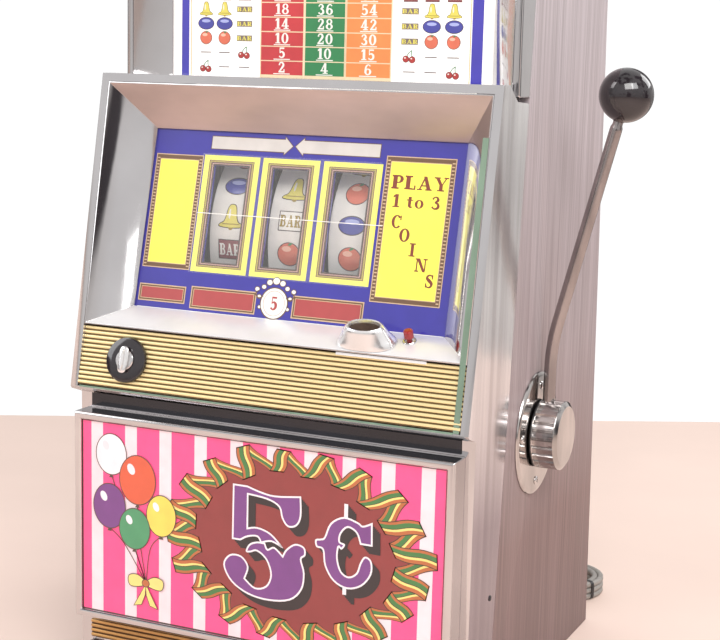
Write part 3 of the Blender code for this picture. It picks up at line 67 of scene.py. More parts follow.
def add_node(tree, kind, output=0, inputs=None, **settings):
    """Adds a shader node, and returns the output that is read from it."""
    added = tree.nodes.new(f"ShaderNode{kind}")
    for name, value in settings.items():
        setattr(added, name, value)
    feed(tree, added, inputs or {})
    return added.outputs[output] if added.outputs else None


def noise(tree, grain, detail, distortion=0.0):
    """Noise in the piece's own space, with about grain patches to the metre along each axis."""
    place = add_node(tree, "TexCoord", "Object")
    place = add_node(tree, "Mapping", "Vector", {"Vector": place, "Scale": grain})
    inputs = {"Vector": place, "Scale": 1.0, "Detail": detail, "Distortion": distortion}
    return add_node(tree, "TexNoise", "Fac", inputs)


def ramp(tree, factor, *stops):
    """A colour for each value of the factor: stops are positions, in order, and colours."""
    colour = add_node(tree, "ValToRGB", "Color", {"Fac": factor})
    elements = colour.node.color_ramp.elements
    for number, (position, look) in enumerate(stops):
        stop = elements[number] if number < 2 else elements.new(position)
        stop.position = position
        stop.color = (*look, 1)
    return colour


def multiply(tree, first, second):
    inputs = {"Factor": 1.0, "A": first, "B": second}
    return add_node(tree, "Mix", "Result", inputs, data_type="RGBA", blend_type="MULTIPLY")


def finish(name, colour, rough=0.4, metal=0.0, spread=0.08, grain=40, coat=0.0, relief=None,
           rough_spread=0.05,
           glow=0.0, alpha=1.0, second=None, detail=4.0):
    """A Principled material that varies over the surface. relief is a strength, a grain and a depth."""
    made = bpy.data.materials.new(name)
    made.use_nodes = True
    tree = made.node_tree
    grain = grain if isinstance(grain, tuple) else (grain,) * 3
    low = tuple(min(1.0, v * (1 - spread)) for v in colour)
    high = tuple(min(1.0, v * (1 + spread)) for v in (second or colour))
    wear = {"Value": noise(tree, tuple(v * 0.7 for v in grain), 3.0),
            "To Min": max(0.0, rough - rough_spread), "To Max": min(1.0, rough + rough_spread)}
    inputs = {"Base Color": ramp(tree, noise(tree, grain, detail), (0.32, low), (0.68, high)),
              "Roughness": add_node(tree, "MapRange", "Result", wear),
              "Metallic": metal, "Coat Weight": coat, "Coat Roughness": 0.04, "Alpha": alpha}
    if glow:
        inputs.update({"Emission Color": (*colour, 1), "Emission Strength": glow})
    if relief:
        strength, bumps, depth = relief
        height = noise(tree, bumps if isinstance(bumps, tuple) else (bumps,) * 3, 3.0)
        bump = {"Height": height, "Strength": strength, "Distance": depth}
        inputs["Normal"] = add_node(tree, "Bump", "Normal", bump)
    feed(tree, tree.nodes["Principled BSDF"], inputs)
    return made


def ink(name, r, g, b, glow=0.0):
    """Back-printed colour under glass. A glow above 0 is painted light that makes the print shine."""
    return finish(f"ink_{name}", rgb(r, g, b), 0.35, spread=0.05, grain=60, coat=1.0, rough_spread=0.03,
                  glow=glow)


def inks(**colours):
    return {key: ink(*values) for key, values in colours.items()}


def tinted(made, tint):
    """Multiplies the material's colour by the tint."""
    colour = made.node_tree.nodes["Principled BSDF"].inputs["Base Color"]
    made.node_tree.links.new(multiply(made.node_tree, colour.links[0].from_socket, tint), colour)
    return made


def painted_shade_below(made, *stops):
    """Painted shade that darkens it towards its foot, where less light falls: stops are heights in metres and
    tints.
    """
    tree = made.node_tree
    height = add_node(tree, "SeparateXYZ", "Z", {"Vector": add_node(tree, "TexCoord", "Object")})
    return tinted(made, ramp(tree, height, *stops))


def wood(name, dark, light, run=2):
    """Printed wood-grain laminate: fine lines along one axis over broad streaks, with painted shade towards
    its foot.
    """
    fine, rough, wide = (tuple(slow if axis == run else across for axis in range(3))
                         for across, slow in ((520, 5.0), (900, 9), (44, 1.1)))
    made = finish(name, dark, 0.42, 0.0, 0.05, fine, second=light, detail=6.0, relief=(0.22, rough, 0.0003))
    streaks = noise(made.node_tree, wide, 3.0, 0.6)
    tinted(made, ramp(made.node_tree, streaks, (0.35, (0.91, 0.90, 0.89)), (0.62, (1, 1, 1))))
    # painted shade: the laminate grows darker towards the floor
    return painted_shade_below(made, (0.0, (0.38, 0.26, 0.24)), (0.16, (0.48, 0.34, 0.31)),
                        (0.34, (0.82, 0.76, 0.75)), (0.66, (1, 1, 1)))


CHROME = finish("chrome_plate", (0.62, 0.60, 0.605), 0.09, 1.0, 0.05, 14, relief=(0.12, 11, 0.004),
                rough_spread=0.06)
# painted light: a brighter satin copy of the chrome for the upward faces of the coin shelf and its lip
SHELF_LIT = finish("shelf_satin_painted_light", (0.93, 0.92, 0.93), 0.34, 0.45, 0.04, 30, rough_spread=0.08)
# painted light: a brighter copy of the chrome for the door's side faces, its vertical streaks painted
# reflections
SIDE_CHROME_LIT = finish("chrome_side_painted_light", (0.88, 0.85, 0.85), 0.14, 0.85, 0.26, (30, 65, 1.3), rough_spread=0.06,
                     relief=(0.12, (11, 14, 5), 0.004))
# painted reflection: the floor's pink painted into the brushed, downward-facing top splay
SPLAY_REFLECTED = finish("splay_painted_floor_reflection", rgb(196, 176, 170), 0.36, 0.55, 0.16, (7, 16, 16), rough_spread=0.1)
HUB = finish("hub_plated", (0.52, 0.49, 0.475), 0.13, 1.0, 0.16, (60, 60, 14), rough_spread=0.08,
             relief=(0.06, 120, 0.001))
CHROME_DULL = finish("chrome_handled", (0.66, 0.64, 0.635), 0.15, 1.0, 0.06, 60, rough_spread=0.07,
                     relief=(0.06, 120, 0.001))
STEEL = finish("steel_satin", (0.60, 0.59, 0.585), 0.30, 1.0, 0.10, (40, 40, 700), rough_spread=0.08)
ZINC = finish("zinc_plate", (0.58, 0.58, 0.55), 0.38, 1.0, 0.14, 55, rough_spread=0.1)
CUP = finish("cup_polished", (0.82, 0.81, 0.81), 0.20, 0.8, 0.05, 60, rough_spread=0.06)
ROD = finish("rod_steel", (0.36, 0.325, 0.32), 0.20, 1.0, 0.14, (90, 90, 14), rough_spread=0.08)
BRASS = finish("brass_turned", (0.70, 0.50, 0.20), 0.3, 1.0, 0.1, (200, 200, 30))
BLACK = finish("black_gloss", (0.018, 0.014, 0.017), 0.10, 0.0, 0.2, 120, coat=0.5, rough_spread=0.04)
BLACK_SOFT = finish("black_moulded", (0.022, 0.020, 0.022), 0.36, 0.0, 0.2, 200, relief=(0.15, 1500, 0.0002))
RUBBER = finish("cord_sheath", rgb(150, 145, 140), 0.5, 0.0, 0.1, 200, relief=(0.1, 900, 0.0003))
PLY = finish("plywood_bare", (0.42, 0.29, 0.17), 0.62, 0.0, 0.22, (14, 160, 300),
             relief=(0.2, (30, 300, 600), 0.0004))
GREEN_VARNISH = finish("varnished_iron", (0.07, 0.085, 0.075), 0.42, 0.3, 0.2, (20, 900, 20))
OPAL = finish("lamp_glass", (0.95, 0.93, 0.86), 0.25, 0.0, 0.02, 40, glow=1.6)
RED = finish("button_red", rgb(150, 32, 34), 0.28, 0.0, 0.12, 300, coat=0.4)
REEL_STRIP = finish("reel_strip", rgb(232, 229, 222), 0.42, 0.0, 0.05, 70, coat=0.3)
REEL_CORE = finish("reel_core", (0.50, 0.49, 0.46), 0.45, 0.7, 0.12, 60)
GASKET = finish("rim_edge_green", rgb(126, 150, 130), 0.20, 0.35, 0.16, (60, 60, 9), coat=0.6)
# painted shade: glossy black for the shade in the undercut under the belly frame
UNDERCUT_SHADE = finish("recess_painted_shade", (0.012, 0.012, 0.020), 0.16, 0.2, 0.25, (18, 60, 60), coat=0.4)
# painted shade: black sheets for the dark inside of the coin slot and the keyway
HOLE_SHADE = finish("mouth_painted_shade", (0.010, 0.009, 0.009), 0.6, 0.0, 0.2, 80)
WOOD = wood("laminate_grain", rgb(160, 151, 154), rgb(190, 181, 186))
WOOD_ACROSS = wood("laminate_grain_across", rgb(160, 151, 154), rgb(190, 181, 186), 0)
HARDBOARD = wood("rear_panel_grain", rgb(112, 88, 76), rgb(140, 114, 98))


# Shape helpers


def put(name, mesh, body, looks, replaced=(), smooth=None):
    """Adds the mesh as a piece that rides on the body."""
    obj = bpy.data.objects.new(name, mesh)
    bpy.context.scene.collection.objects.link(obj)
    for look in looks if isinstance(looks, (list, tuple)) else [looks]:
        mesh.materials.append(look)
    if smooth is not None:
        mesh.shade_smooth()
        mesh.set_sharp_from_angle(angle=math.radians(smooth))
    if body:
        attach(obj, body)
    if replaced:
        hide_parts(*replaced)
    return obj


def baked(name, build):
    """The bmesh as a mesh."""
    mesh = bpy.data.meshes.new(name)
    build.to_mesh(mesh)
    build.free()
    return mesh


def mesh_of(name, points, faces, tags=None):
    """A mesh with its normals outwards. tags are the faces' material slots."""
    mesh = bpy.data.meshes.new(name)
    mesh.from_pydata([tuple(p) for p in points], [], [tuple(f) for f in faces])
    for polygon, tag in zip(mesh.polygons, tags or ()):
        polygon.material_index = tag
    build = bmesh.new()
    build.from_mesh(mesh)
    bmesh.ops.recalc_face_normals(build, faces=build.faces)
    build.to_mesh(mesh)
    build.free()
    return mesh


BOX_FACES = ((0, 1, 2, 3), (7, 6, 5, 4), (0, 4, 5, 1), (1, 5, 6, 2), (2, 6, 7, 3), (3, 7, 4, 0))


def skin(rings, ends=(), closed=False):
    """Points and faces of a skin over rings of points. ends are the rings that are filled in."""
    count = len(rings[0])
    faces = []
    for k in range(len(rings) if closed else len(rings) - 1):
        first, second = k * count, (k + 1) % len(rings) * count
        for i in range(count):
            j = (i + 1) % count
            faces.append((first + i, first + j, second + j, second + i))
    faces += [tuple(range(k * count, (k + 1) * count)) for k in ends]
    return [point for ring in rings for point in ring], faces


def tube(name, points, radius, fine, body, look, replaced, widths=None):
    """A round bar along the points. widths are shares of the radius."""
    curve = bpy.data.curves.new(name, "CURVE")
    curve.dimensions = "3D"
    curve.bevel_depth = radius
    curve.bevel_resolution = fine
    curve.use_fill_caps = True
    line = curve.splines.new("POLY")
    line.points.add(len(points) - 1)
    for point, at, width in zip(line.points, points, widths or [1.0] * len(points)):
        point.co = (*at, 1)
        point.radius = width
    line.use_smooth = True
    return put(name, curve, body, look, replaced)


def turned(profile, sides=64, shape=None):
    """A profile of (radius, x) turned round X. shape(angle, radius, x) may change the radius."""
    points, rows, faces = [], [], []
    for radius, x in profile:
        if radius == 0:
            rows.append([len(points)] * sides)
            points.append((x, 0, 0))
            continue
        rows.append(list(range(len(points), len(points) + sides)))
        for i in range(sides):
            t = math.tau * i / sides
            r = shape(t, radius, x) if shape else radius
            points.append((x, r * math.cos(t), r * math.sin(t)))
    pairs = list(zip(rows, rows[1:]))
    if profile[0][0] > 0 and profile[-1][0] > 0:
        pairs.append((rows[-1], rows[0]))
    for a, b in pairs:
        for i in range(sides):
            j = (i + 1) % sides
            corners = tuple(dict.fromkeys((a[i], a[j], b[j], b[i])))
            if len(corners) > 2:
                faces.append(corners)
    return points, faces


def turned_piece(name, profile, matrix, body, look, replaced=(), sides=64, shape=None, smooth=32):
    mesh = mesh_of(name, *turned(profile, sides, shape))
    mesh.transform(matrix)
    return put(name, mesh, body, look, replaced, smooth)


def along(direction, origin):
    """Local X along the direction."""
    return Matrix.Translation(origin) @ Vector(direction).to_track_quat("X", "Z").to_matrix().to_4x4()


def rounded(node, width, look, body, segments=2):
    """The CAD solid again, with its edges rounded."""
    mesh = NODES[node].data.copy()
    build = bmesh.new()
    build.from_mesh(mesh)
    bmesh.ops.remove_doubles(build, verts=build.verts, dist=0.00001)
    bmesh.ops.dissolve_limit(build, angle_limit=math.radians(0.6), verts=build.verts, edges=build.edges)
    build.to_mesh(mesh)
    build.free()
    mesh.materials.clear()
    obj = put(f"{node}_rounded", mesh, None, look)
    bevel = obj.modifiers.new("edge", "BEVEL")
    bevel.width = width
    bevel.segments = segments
    bevel.limit_method = "ANGLE"
    bevel.angle_limit = math.radians(28)
    bevel.harden_normals = True
    mesh.shade_smooth()
    mesh.set_sharp_from_angle(angle=math.radians(60))
    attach(obj, body)
    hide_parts(node)
    return obj


def paint(look, *nodes):
    """Gives the CAD solids a material."""
    for node in nodes:
        obj = NODES[node]
        if not obj.material_slots:
            obj.data.materials.append(look)
        for holder in obj.material_slots:
            holder.material = look


def slope_frame(low, high, x=0.0):
    """X across, Y up the slope, Z out of it. low and high are (y, z)."""
    up = Vector((0, high[0] - low[0], high[1] - low[1])).normalized()
    out = Vector((1, 0, 0)).cross(up)
    made = Matrix.Identity(4)
    made.col[1] = (*up, 0)
    made.col[2] = (*out, 0)
    made.col[3] = (x, low[0], low[1], 1)
    return made


def ellipse(x, y, rx, ry, count=32, turn=0.0):
    found = []
    for i in range(count):
        t = math.tau * i / count
        u, v = rx * math.cos(t), ry * math.sin(t)
        found.append((x + u * math.cos(turn) - v * math.sin(turn),
                      y + u * math.sin(turn) + v * math.cos(turn)))
    return found


def squared(rx, ry, power, count):
    """An oval that grows squarer as the power falls below 1."""
    return [(rx * math.copysign(abs(c) ** power, c), ry * math.copysign(abs(s) ** power, s))
            for c, s in ellipse(0, 0, 1, 1, count)]


def rect(x0, y0, x1, y1):
    return [(x0, y0), (x1, y0), (x1, y1), (x0, y1)]


def curved(points, between=6, closed=True):
    """Points on a smooth curve through the given ones."""
    found = []
    count = len(points)
    spans = count if closed else count - 1
    for i in range(spans):
        if closed:
            a, b, c, d = (points[(i + k - 1) % count] for k in range(4))
        else:
            a, b, c, d = (points[min(max(i + k - 1, 0), count - 1)] for k in range(4))
        for step in range(between):
            t = step / between
            found.append(tuple(
                0.5 * (2 * b[n] + (c[n] - a[n]) * t + (2 * a[n] - 5 * b[n] + 4 * c[n] - d[n]) * t * t
                       + (3 * b[n] - a[n] - 3 * c[n] + d[n]) * t ** 3) for n in range(len(b))))
    return found if closed else found + [tuple(points[-1])]


def pierced(name, outlines, top, bottom):
    """A flat plate in millimetres: the first outline is its edge, and the others are its holes."""
    build = bmesh.new()
    for level in (top, bottom):
        edges = []
        for points in outlines:
            verts = [build.verts.new((x, y, level)) for x, y in points]
            edges += [build.edges.new((a, b)) for a, b in zip(verts, verts[1:] + verts[:1])]
        bmesh.ops.triangle_fill(build, use_beauty=True, use_dissolve=False, edges=edges)
    for points in outlines:
        for (x0, y0), (x1, y1) in zip(points, points[1:] + points[:1]):
            wall = ((x0, y0, top), (x1, y1, top), (x1, y1, bottom), (x0, y0, bottom))
            build.faces.new([build.verts.new(corner) for corner in wall])
    bmesh.ops.remove_doubles(build, verts=build.verts, dist=0.0001)
    bmesh.ops.recalc_face_normals(build, faces=build.faces)
    mesh = baked(name, build)
    mesh.transform(Matrix.Scale(MM, 4))
    return mesh


def outline(points):
    """A closed outline, smooth except at the points marked with a third value."""
    corners = [i for i, point in enumerate(points) if len(point) > 2]
    flat = [point[:2] for point in points]
    if not corners:
        return curved(flat, 4)
    found = []
    for first, last in zip(corners, corners[1:] + [corners[0] + len(points)]):
        part = [flat[i % len(flat)] for i in range(first, last + 1)]
        found += curved(part, 1 if len(part) == 2 else 4, False)[:-1]
    return found


def grown(points, by):
    """The closed outline moved outwards."""
    area = sum(a[0] * b[1] - b[0] * a[1] for a, b in zip(points, points[1:] + points[:1]))
    sign = 1 if area > 0 else -1
    found = []
    count = len(points)
    for i in range(count):
        a, b, c = points[i - 1], points[i], points[(i + 1) % count]
        first = Vector((b[1] - a[1], a[0] - b[0])).normalized()
        second = Vector((c[1] - b[1], b[0] - c[0])).normalized()
        normal = first + second
        normal = normal / max(0.35, normal.length_squared / 2) if normal.length > 1e-9 else first
        found.append((b[0] + sign * by * normal.x, b[1] + sign * by * normal.y))
    return found


LAYER = 0.06  # millimetres between one printed colour and the next
LETTER_STEP = 0.06  # layers between the parts of one letter
WRAP_STEP = 4.0  # millimetres between the folds of a print that is wrapped round a reel

# Slab-serif letters one unit high: a width, then boxes (x0, y0, x1, y1), outlines of four points, arcs (the
# middle, the outer and inner radii, the first and last angle) and strokes (points, and the width at each)
STEM = [(0.08, 0, 0.38, 1), (0, 0, 0.52, 0.12), (0, 0.88, 0.52, 1)]
LOOP = [(0.3, 0.42, 0.48, 0.51), (0.47, 0.71, 0.33, 0.29, 0.1, 0.19, -90, 90)]
GLYPHS = {
    " ": (0.3, []),
    "A": (1, [(0, 0, 0.34, 0.1), (0.56, 0, 1, 0.1), ((0.12, 0.05), (0.22, 0.05), (0.52, 0.86), (0.46, 1)),
            ((0.38, 1), (0.6, 1), (0.93, 0.05), (0.65, 0.05)), (0.26, 0.28, 0.7, 0.37)]),
    "B": (0.84, STEM + [(0.3, 0.47, 0.5, 0.55), (0.48, 0.735, 0.3, 0.265, 0.08, 0.18, -90, 90),
            (0.48, 0.28, 0.34, 0.28, 0.11, 0.185, -90, 90)]),
    "C": (0.84, [(0.44, 0.5, 0.42, 0.51, 0.18, 0.41, 40, 320), (0.7, 0.62, 0.8, 0.98)]),
    "I": (0.5, [(0.13, 0, 0.37, 1), (0, 0, 0.5, 0.1), (0, 0.9, 0.5, 1)]),
    "L": (0.78, STEM + [(0.3, 0, 0.76, 0.1), (0.66, 0, 0.76, 0.32)]),
    "N": (0.98, [(0.1, 0, 0.2, 1), (0, 0, 0.32, 0.1), (0, 0.9, 0.3, 1), (0.76, 0.1, 0.86, 1),
            ((0.1, 1), (0.36, 1), (0.86, 0), (0.64, 0)), (0.64, 0.9, 0.98, 1)]),
    "O": (0.86, [(0.43, 0.5, 0.42, 0.51, 0.18, 0.41, 0, 360)]),
    "P": (0.8, STEM + LOOP),
    "R": (0.92, STEM + LOOP + [((0.36, 0.47), (0.6, 0.47), (0.86, 0.05), (0.62, 0.05)),
                               (0.56, 0, 0.94, 0.1)]),
    "S": (0.7, [
            (((0.58, 0.74), (0.48, 0.93), (0.24, 0.92), (0.15, 0.72), (0.34, 0.54), (0.54, 0.32),
              (0.46, 0.08), (0.2, 0.07), (0.09, 0.28)), (0.06, 0.1, 0.14, 0.2, 0.26, 0.22, 0.14, 0.1, 0.06)),
            (0.53, 0.66, 0.62, 0.98), (0.05, 0.02, 0.14, 0.34)]),
    "Y": (0.98, [((0.08, 0.95), (0.34, 0.95), (0.6, 0.46), (0.4, 0.4)),
            ((0.78, 0.95), (0.88, 0.95), (0.62, 0.46), (0.54, 0.46)), (0.38, 0.04, 0.62, 0.48),
            (0.26, 0, 0.74, 0.1), (0, 0.9, 0.42, 1), (0.66, 0.9, 0.98, 1)]),
    "t": (0.5, [(0.12, 0.1, 0.34, 0.86), (0, 0.56, 0.48, 0.65),
            (((0.23, 0.16), (0.32, 0.05), (0.46, 0.12)), (0.2, 0.12, 0.06))]),
    "o": (0.66, [(0.33, 0.33, 0.32, 0.34, 0.12, 0.26, 0, 360)]),
    "0": (0.74, [(0.37, 0.5, 0.36, 0.51, 0.14, 0.41, 0, 360)]),
    "1": (0.5, [(0.14, 0.05, 0.38, 1), (0, 0, 0.5, 0.1), ((0, 0.72), (0.16, 0.8), (0.16, 1), (0, 0.86))]),
    "2": (0.74, [
            (((0.14, 0.7), (0.22, 0.92), (0.46, 0.93), (0.56, 0.7), (0.36, 0.38), (0.14, 0.12)),
             (0.16, 0.12, 0.16, 0.22, 0.18, 0.1)),
            (0.06, 0, 0.68, 0.15), (0.58, 0, 0.68, 0.32)]),
    "3": (0.7, [
            (((0.12, 0.76), (0.24, 0.93), (0.44, 0.91), (0.5, 0.7), (0.28, 0.53)),
             (0.14, 0.1, 0.14, 0.22, 0.08)),
            (((0.28, 0.53), (0.52, 0.42), (0.54, 0.16), (0.3, 0.05), (0.1, 0.2)),
             (0.08, 0.18, 0.22, 0.12, 0.14))]),
    "4": (0.78, [((0.02, 0.22), (0.14, 0.22), (0.5, 0.92), (0.4, 1)), (0.02, 0.22, 0.76, 0.32),
            (0.38, 0.05, 0.6, 1), (0.24, 0, 0.74, 0.09)]),
    "5": (0.72, [(0.14, 0.86, 0.62, 1), (0.14, 0.46, 0.22, 0.98),
            (((0.18, 0.5), (0.36, 0.6), (0.56, 0.44), (0.54, 0.18), (0.32, 0.05), (0.1, 0.18)),
             (0.08, 0.14, 0.22, 0.2, 0.12, 0.14))]),
    "6": (0.74, [(0.38, 0.3, 0.34, 0.31, 0.13, 0.21, 0, 360),
            (((0.62, 0.82), (0.44, 0.95), (0.22, 0.8), (0.14, 0.36)), (0.12, 0.1, 0.16, 0.2))]),
    "8": (0.74, [(0.37, 0.74, 0.3, 0.26, 0.12, 0.17, 0, 360), (0.37, 0.28, 0.35, 0.29, 0.15, 0.19, 0, 360)]),
}


class Print:
    """Flat shapes in millimetres on a surface, collected into one piece."""

    def __init__(self, looks):
        self.build = bmesh.new()
        self.looks = list(looks.values())
        self.index = {name: i for i, name in enumerate(looks)}

    def point(self, x, y, level):
        return self.build.verts.new((x, y, level * LAYER))

    def fill(self, corners, look):
        """A face that looks out of the surface."""
        made = self.build.faces.new(corners)
        made.material_index = self.index[look]
        made.normal_update()
        if made.normal.z < 0:
            made.normal_flip()

    def face(self, points, look, level):
        self.fill([self.point(x, y, level) for x, y in points], look)

    def ring(self, outer, inner, look, level):
        first, second = ([self.point(x, y, level) for x, y in edge] for edge in (outer, inner))
        for i in range(len(first)):
            j = (i + 1) % len(first)
            self.fill((first[i], first[j], second[j], second[i]), look)

    def band(self, sides, look, level):
        """A row of faces between pairs of points."""
        for (a, b), (c, d) in zip(sides, sides[1:]):
            self.face([a, b, d, c], look, level)

    def ribbon(self, points, look, level):
        """A stroke along points of (x, y, width)."""
        sides = []
        for i, (x, y, w) in enumerate(points):
            a, b = points[max(i - 1, 0)], points[min(i + 1, len(points) - 1)]
            run = Vector((b[0] - a[0], b[1] - a[1])).normalized() * w / 2
            sides.append(((x - run.y, y + run.x), (x + run.y, y - run.x)))
        self.band(sides, look, level)

    def stroke(self, points, width, look, level):
        self.ribbon([(x, y, width) for x, y in points], look, level)

    def arc(self, middle, outer, inner, start, end, look, level):
        steps = max(6, round(abs(end - start) / 18))
        angles = [math.radians(start + (end - start) * i / steps) for i in range(steps + 1)]
        self.band([[(middle[0] + rx * math.cos(t), middle[1] + ry * math.sin(t)) for rx, ry in (outer, inner)]
                   for t in angles], look, level)

    def letters(self, text, x, y, height, look, level, stretch=1.0):
        """Slab-serif letters and figures centred at the point."""
        gap = 0.10
        wide = height * stretch
        at = x - (sum(GLYPHS[letter][0] + gap for letter in text) - gap) * wide / 2
        for letter in text:
            width, strokes = GLYPHS[letter]

            def place(points, at=at):
                return [(at + u * wide, y + (v - 0.5) * height) for u, v in points]

            for k, values in enumerate(strokes):
                here = level + LETTER_STEP * k
                if len(values) == 2:
                    joined = [(u, v, w * height) for (u, v), w in zip(place(values[0]), values[1])]
                    self.ribbon(curved(joined, 4, False), look, here)
                elif len(values) == 8:
                    cx, cy, rx, ry, ix, iy, start, end = values
                    radii = (rx * wide, ry * height), (ix * wide, iy * height)
                    self.arc(place([(cx, cy)])[0], *radii, start, end, look, here)
                else:
                    self.face(place(values if isinstance(values[0], tuple) else rect(*values)), look, here)
            at += (width + gap) * wide

    def lay(self, name, matrix, body, wrap=None):
        """Ends the print: on a plane, or wrapped by a function of (x, y, z) in millimetres to metres."""
        if wrap:
            ys = [v.co.y for v in self.build.verts]
            for row in range(math.floor(min(ys) / WRAP_STEP), math.ceil(max(ys) / WRAP_STEP)):
                everything = [*self.build.verts, *self.build.edges, *self.build.faces]
                fold = (0, row * WRAP_STEP, 0)
                bmesh.ops.bisect_plane(self.build, geom=everything, plane_co=fold, plane_no=(0, 1, 0))
        mesh = baked(name, self.build)
        if wrap:
            for v in mesh.vertices:
                v.co = wrap(*v.co)
        else:
            mesh.transform(matrix @ Matrix.Scale(MM, 4))
        return put(name, mesh, body, self.looks)


def patch(name, look, matrix, body, *boxes):
    """Flat rectangles of one material, in millimetres."""
    sheet = Print({name: look})
    for box in boxes:
        sheet.face(rect(*box), name, 0)
    sheet.lay(name, matrix, body)


def raised(height):
    return Matrix.Translation((0, 0, height))


# Camera

CAMERA_AT = (0.67240, -1.44637, 0.62108)
CAMERA_TURNS = (24.56, 9.49, 1.44)  # degrees of yaw, pitch and roll
LENS, SENSOR = 78.25, 36


def make_camera():
    yaw, pitch, roll = (math.radians(v) for v in CAMERA_TURNS)
    forward = Vector((-math.sin(yaw) * math.cos(pitch), math.cos(yaw) * math.cos(pitch), -math.sin(pitch)))
    right = Vector((math.cos(yaw), math.sin(yaw), 0))
    up = right.cross(forward)
    pose = Matrix.Identity(4)
    pose.col[0] = (*(math.cos(roll) * right + math.sin(roll) * up), 0)
    pose.col[1] = (*(-math.sin(roll) * right + math.cos(roll) * up), 0)
    pose.col[2] = (*-forward, 0)
    pose.col[3] = (*CAMERA_AT, 1)
    camera = bpy.data.objects.new("camera", bpy.data.cameras.new("camera"))
    bpy.context.scene.collection.objects.link(camera)
    camera.matrix_world = pose
    camera.data.lens = LENS
    camera.data.sensor_width = SENSOR
    camera.data.clip_start = 0.01
    bpy.context.scene.camera = camera
    bpy.context.scene.view_settings.view_transform = "Standard"


make_camera()


# Power cord

CORD_RADIUS = 0.0035
FRONT = -0.205
CORD_ROUTE = (  # chosen one by one
    (-0.0290, 0.4540, 0.0330),
    (-0.0258, 0.4636, 0.0278),
    (-0.0200, 0.4706, 0.0208),
    (-0.0116, 0.4742, 0.0142),
    (-0.0014, 0.4742, 0.0088),
    (0.0100, 0.4718, 0.0054),
    (0.0230, 0.4676, 0.0039),
    (0.0380, 0.4628, 0.0037),
    (0.0550, 0.4583, 0.0037),
    (0.0730, 0.4548, 0.0037),
    (0.0920, 0.4525, 0.0037),
    (0.1110, 0.4513, 0.0037),
    (0.1300, 0.4508, 0.0037),
    (0.1500, 0.4507, 0.0037),
)
COIL = Vector((0.155, 0.500 + FRONT, 0.0))
COIL_REST = 0.0038  # the height of the lowest turns' middle
# the radius and the layer where the cord meets the coil, then of each turn
COIL_TURNS = ((0.0493, 0), (0.042, 0), (0.035, 0), (0.035, 1), (0.042, 1), (0.035, 2), (0.042, 2))


def coil_points():
    """Turns that lie beside and on each other, from where the cord meets them to the plug."""
    plan = [(radius, COIL_REST + layer * 2 * CORD_RADIUS) for radius, layer in COIL_TURNS]
    start, step, shift = (math.radians(v) for v in (-95.8, 15, 60))
    end = math.radians(360 * 5 + 90)
    found = []
    turn = step
    while start + turn < end:
        number = min(int(turn // math.tau), 5)
        share = min(1.0, (turn - number * math.tau) / shift)
        share = share * share * (3 - 2 * share)
        r, z = (a + (b - a) * share for a, b in zip(plan[number], plan[number + 1]))
        found.append((COIL.x + r * math.cos(start + turn), COIL.y + r * math.sin(start + turn), z))
        turn += step
    to_plug = ((0.0, 0.0175), (-0.012, 0.0152), (-0.0256, 0.0125))
    return found + [(COIL.x + x, COIL.y + 0.042, z) for x, z in to_plug]


def make_tie():
    """A plastic strap round the bundle of turns."""
    turn = math.radians(-28)
    outward = Vector((math.cos(turn), math.sin(turn), 0))
    middle = COIL + outward * 0.0385 + Vector((0, 0, 0.0110))
    seat = Matrix(((-outward.y, outward.x, 0, middle.x), (outward.x, outward.y, 0, middle.y),
                   (0, 0, 1, middle.z), (0, 0, 0, 1)))
    rings = [[(x, u, v) for u, v in squared(wide, tall, 0.5, 24)] for x, wide, tall in (
        (-0.002, 0.0080, 0.0109), (0.002, 0.0080, 0.0109), (0.002, 0.0074, 0.0107), (-0.002, 0.0074, 0.0107))]
    mesh = mesh_of("cord_tie", *skin(rings, closed=True))
    mesh.transform(seat)
    return put("cord_tie", mesh, "cabinet", BLACK_SOFT, smooth=40)


def make_cord():
    slope = 0.051  # the cord leaves square to the rear door, which leans by this much
    lean = math.atan(slope)
    origin = Vector((-0.030, FRONT + 0.410 - slope * 0.034, 0.034))
    outward = Vector((0, math.cos(lean), math.sin(lean)))
    route = [tuple(origin + outward * reach) for reach in (0.0284, 0.0370)]
    route += [(x, y + FRONT, z) for x, y, z in CORD_ROUTE]
    points = curved(route, 3, False) + coil_points()
    lead = tube("power_cord_lead", points, CORD_RADIUS, 4, "cabinet", RUBBER, ("power_cord", "cord_coil"))
    length = sum((Vector(b) - Vector(a)).length for a, b in zip(points, points[1:]))
    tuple(points[0])
    make_tie()
    paint(BLACK_SOFT, "mains_plug", "cord_gland")


make_cord()


# Cabinet


def make_cabinet():
    rounded("cabinet_side_left", 0.0012, WOOD, "cabinet")
    rounded("cabinet_side_right", 0.0012, WOOD, "cabinet")
    rounded("cabinet_top", 0.0010, WOOD_ACROSS, "cabinet")
    rounded("rear_door", 0.0010, HARDBOARD, "back_door")
    paint(PLY, "cabinet_base", "rear_rail", "mechanism_shelf")
    paint(ZINC, "reel_frame_left", "reel_frame_right", "coin_run", "payout_chute", "cash_box", "payout_slide",
          "reel_lamp_holder", "award_lamp_holder", "belly_lamp_holder")
    paint(CHROME_DULL, "front_hinge_leaf", "door_hinge_leaf")
    paint(STEEL, "front_hinge_pin", "rear_hinge_leaf", "rear_door_leaf", "reel_shaft", "stop_shaft",
          "handle_shaft")
    paint(BRASS, "handle_bush", "coin_tube", "reel_stop_1", "reel_stop_2", "reel_stop_3")
    paint(GREEN_VARNISH, "transformer")
    paint(OPAL, "reel_lamp", "award_lamp", "belly_lamp")


make_cabinet()


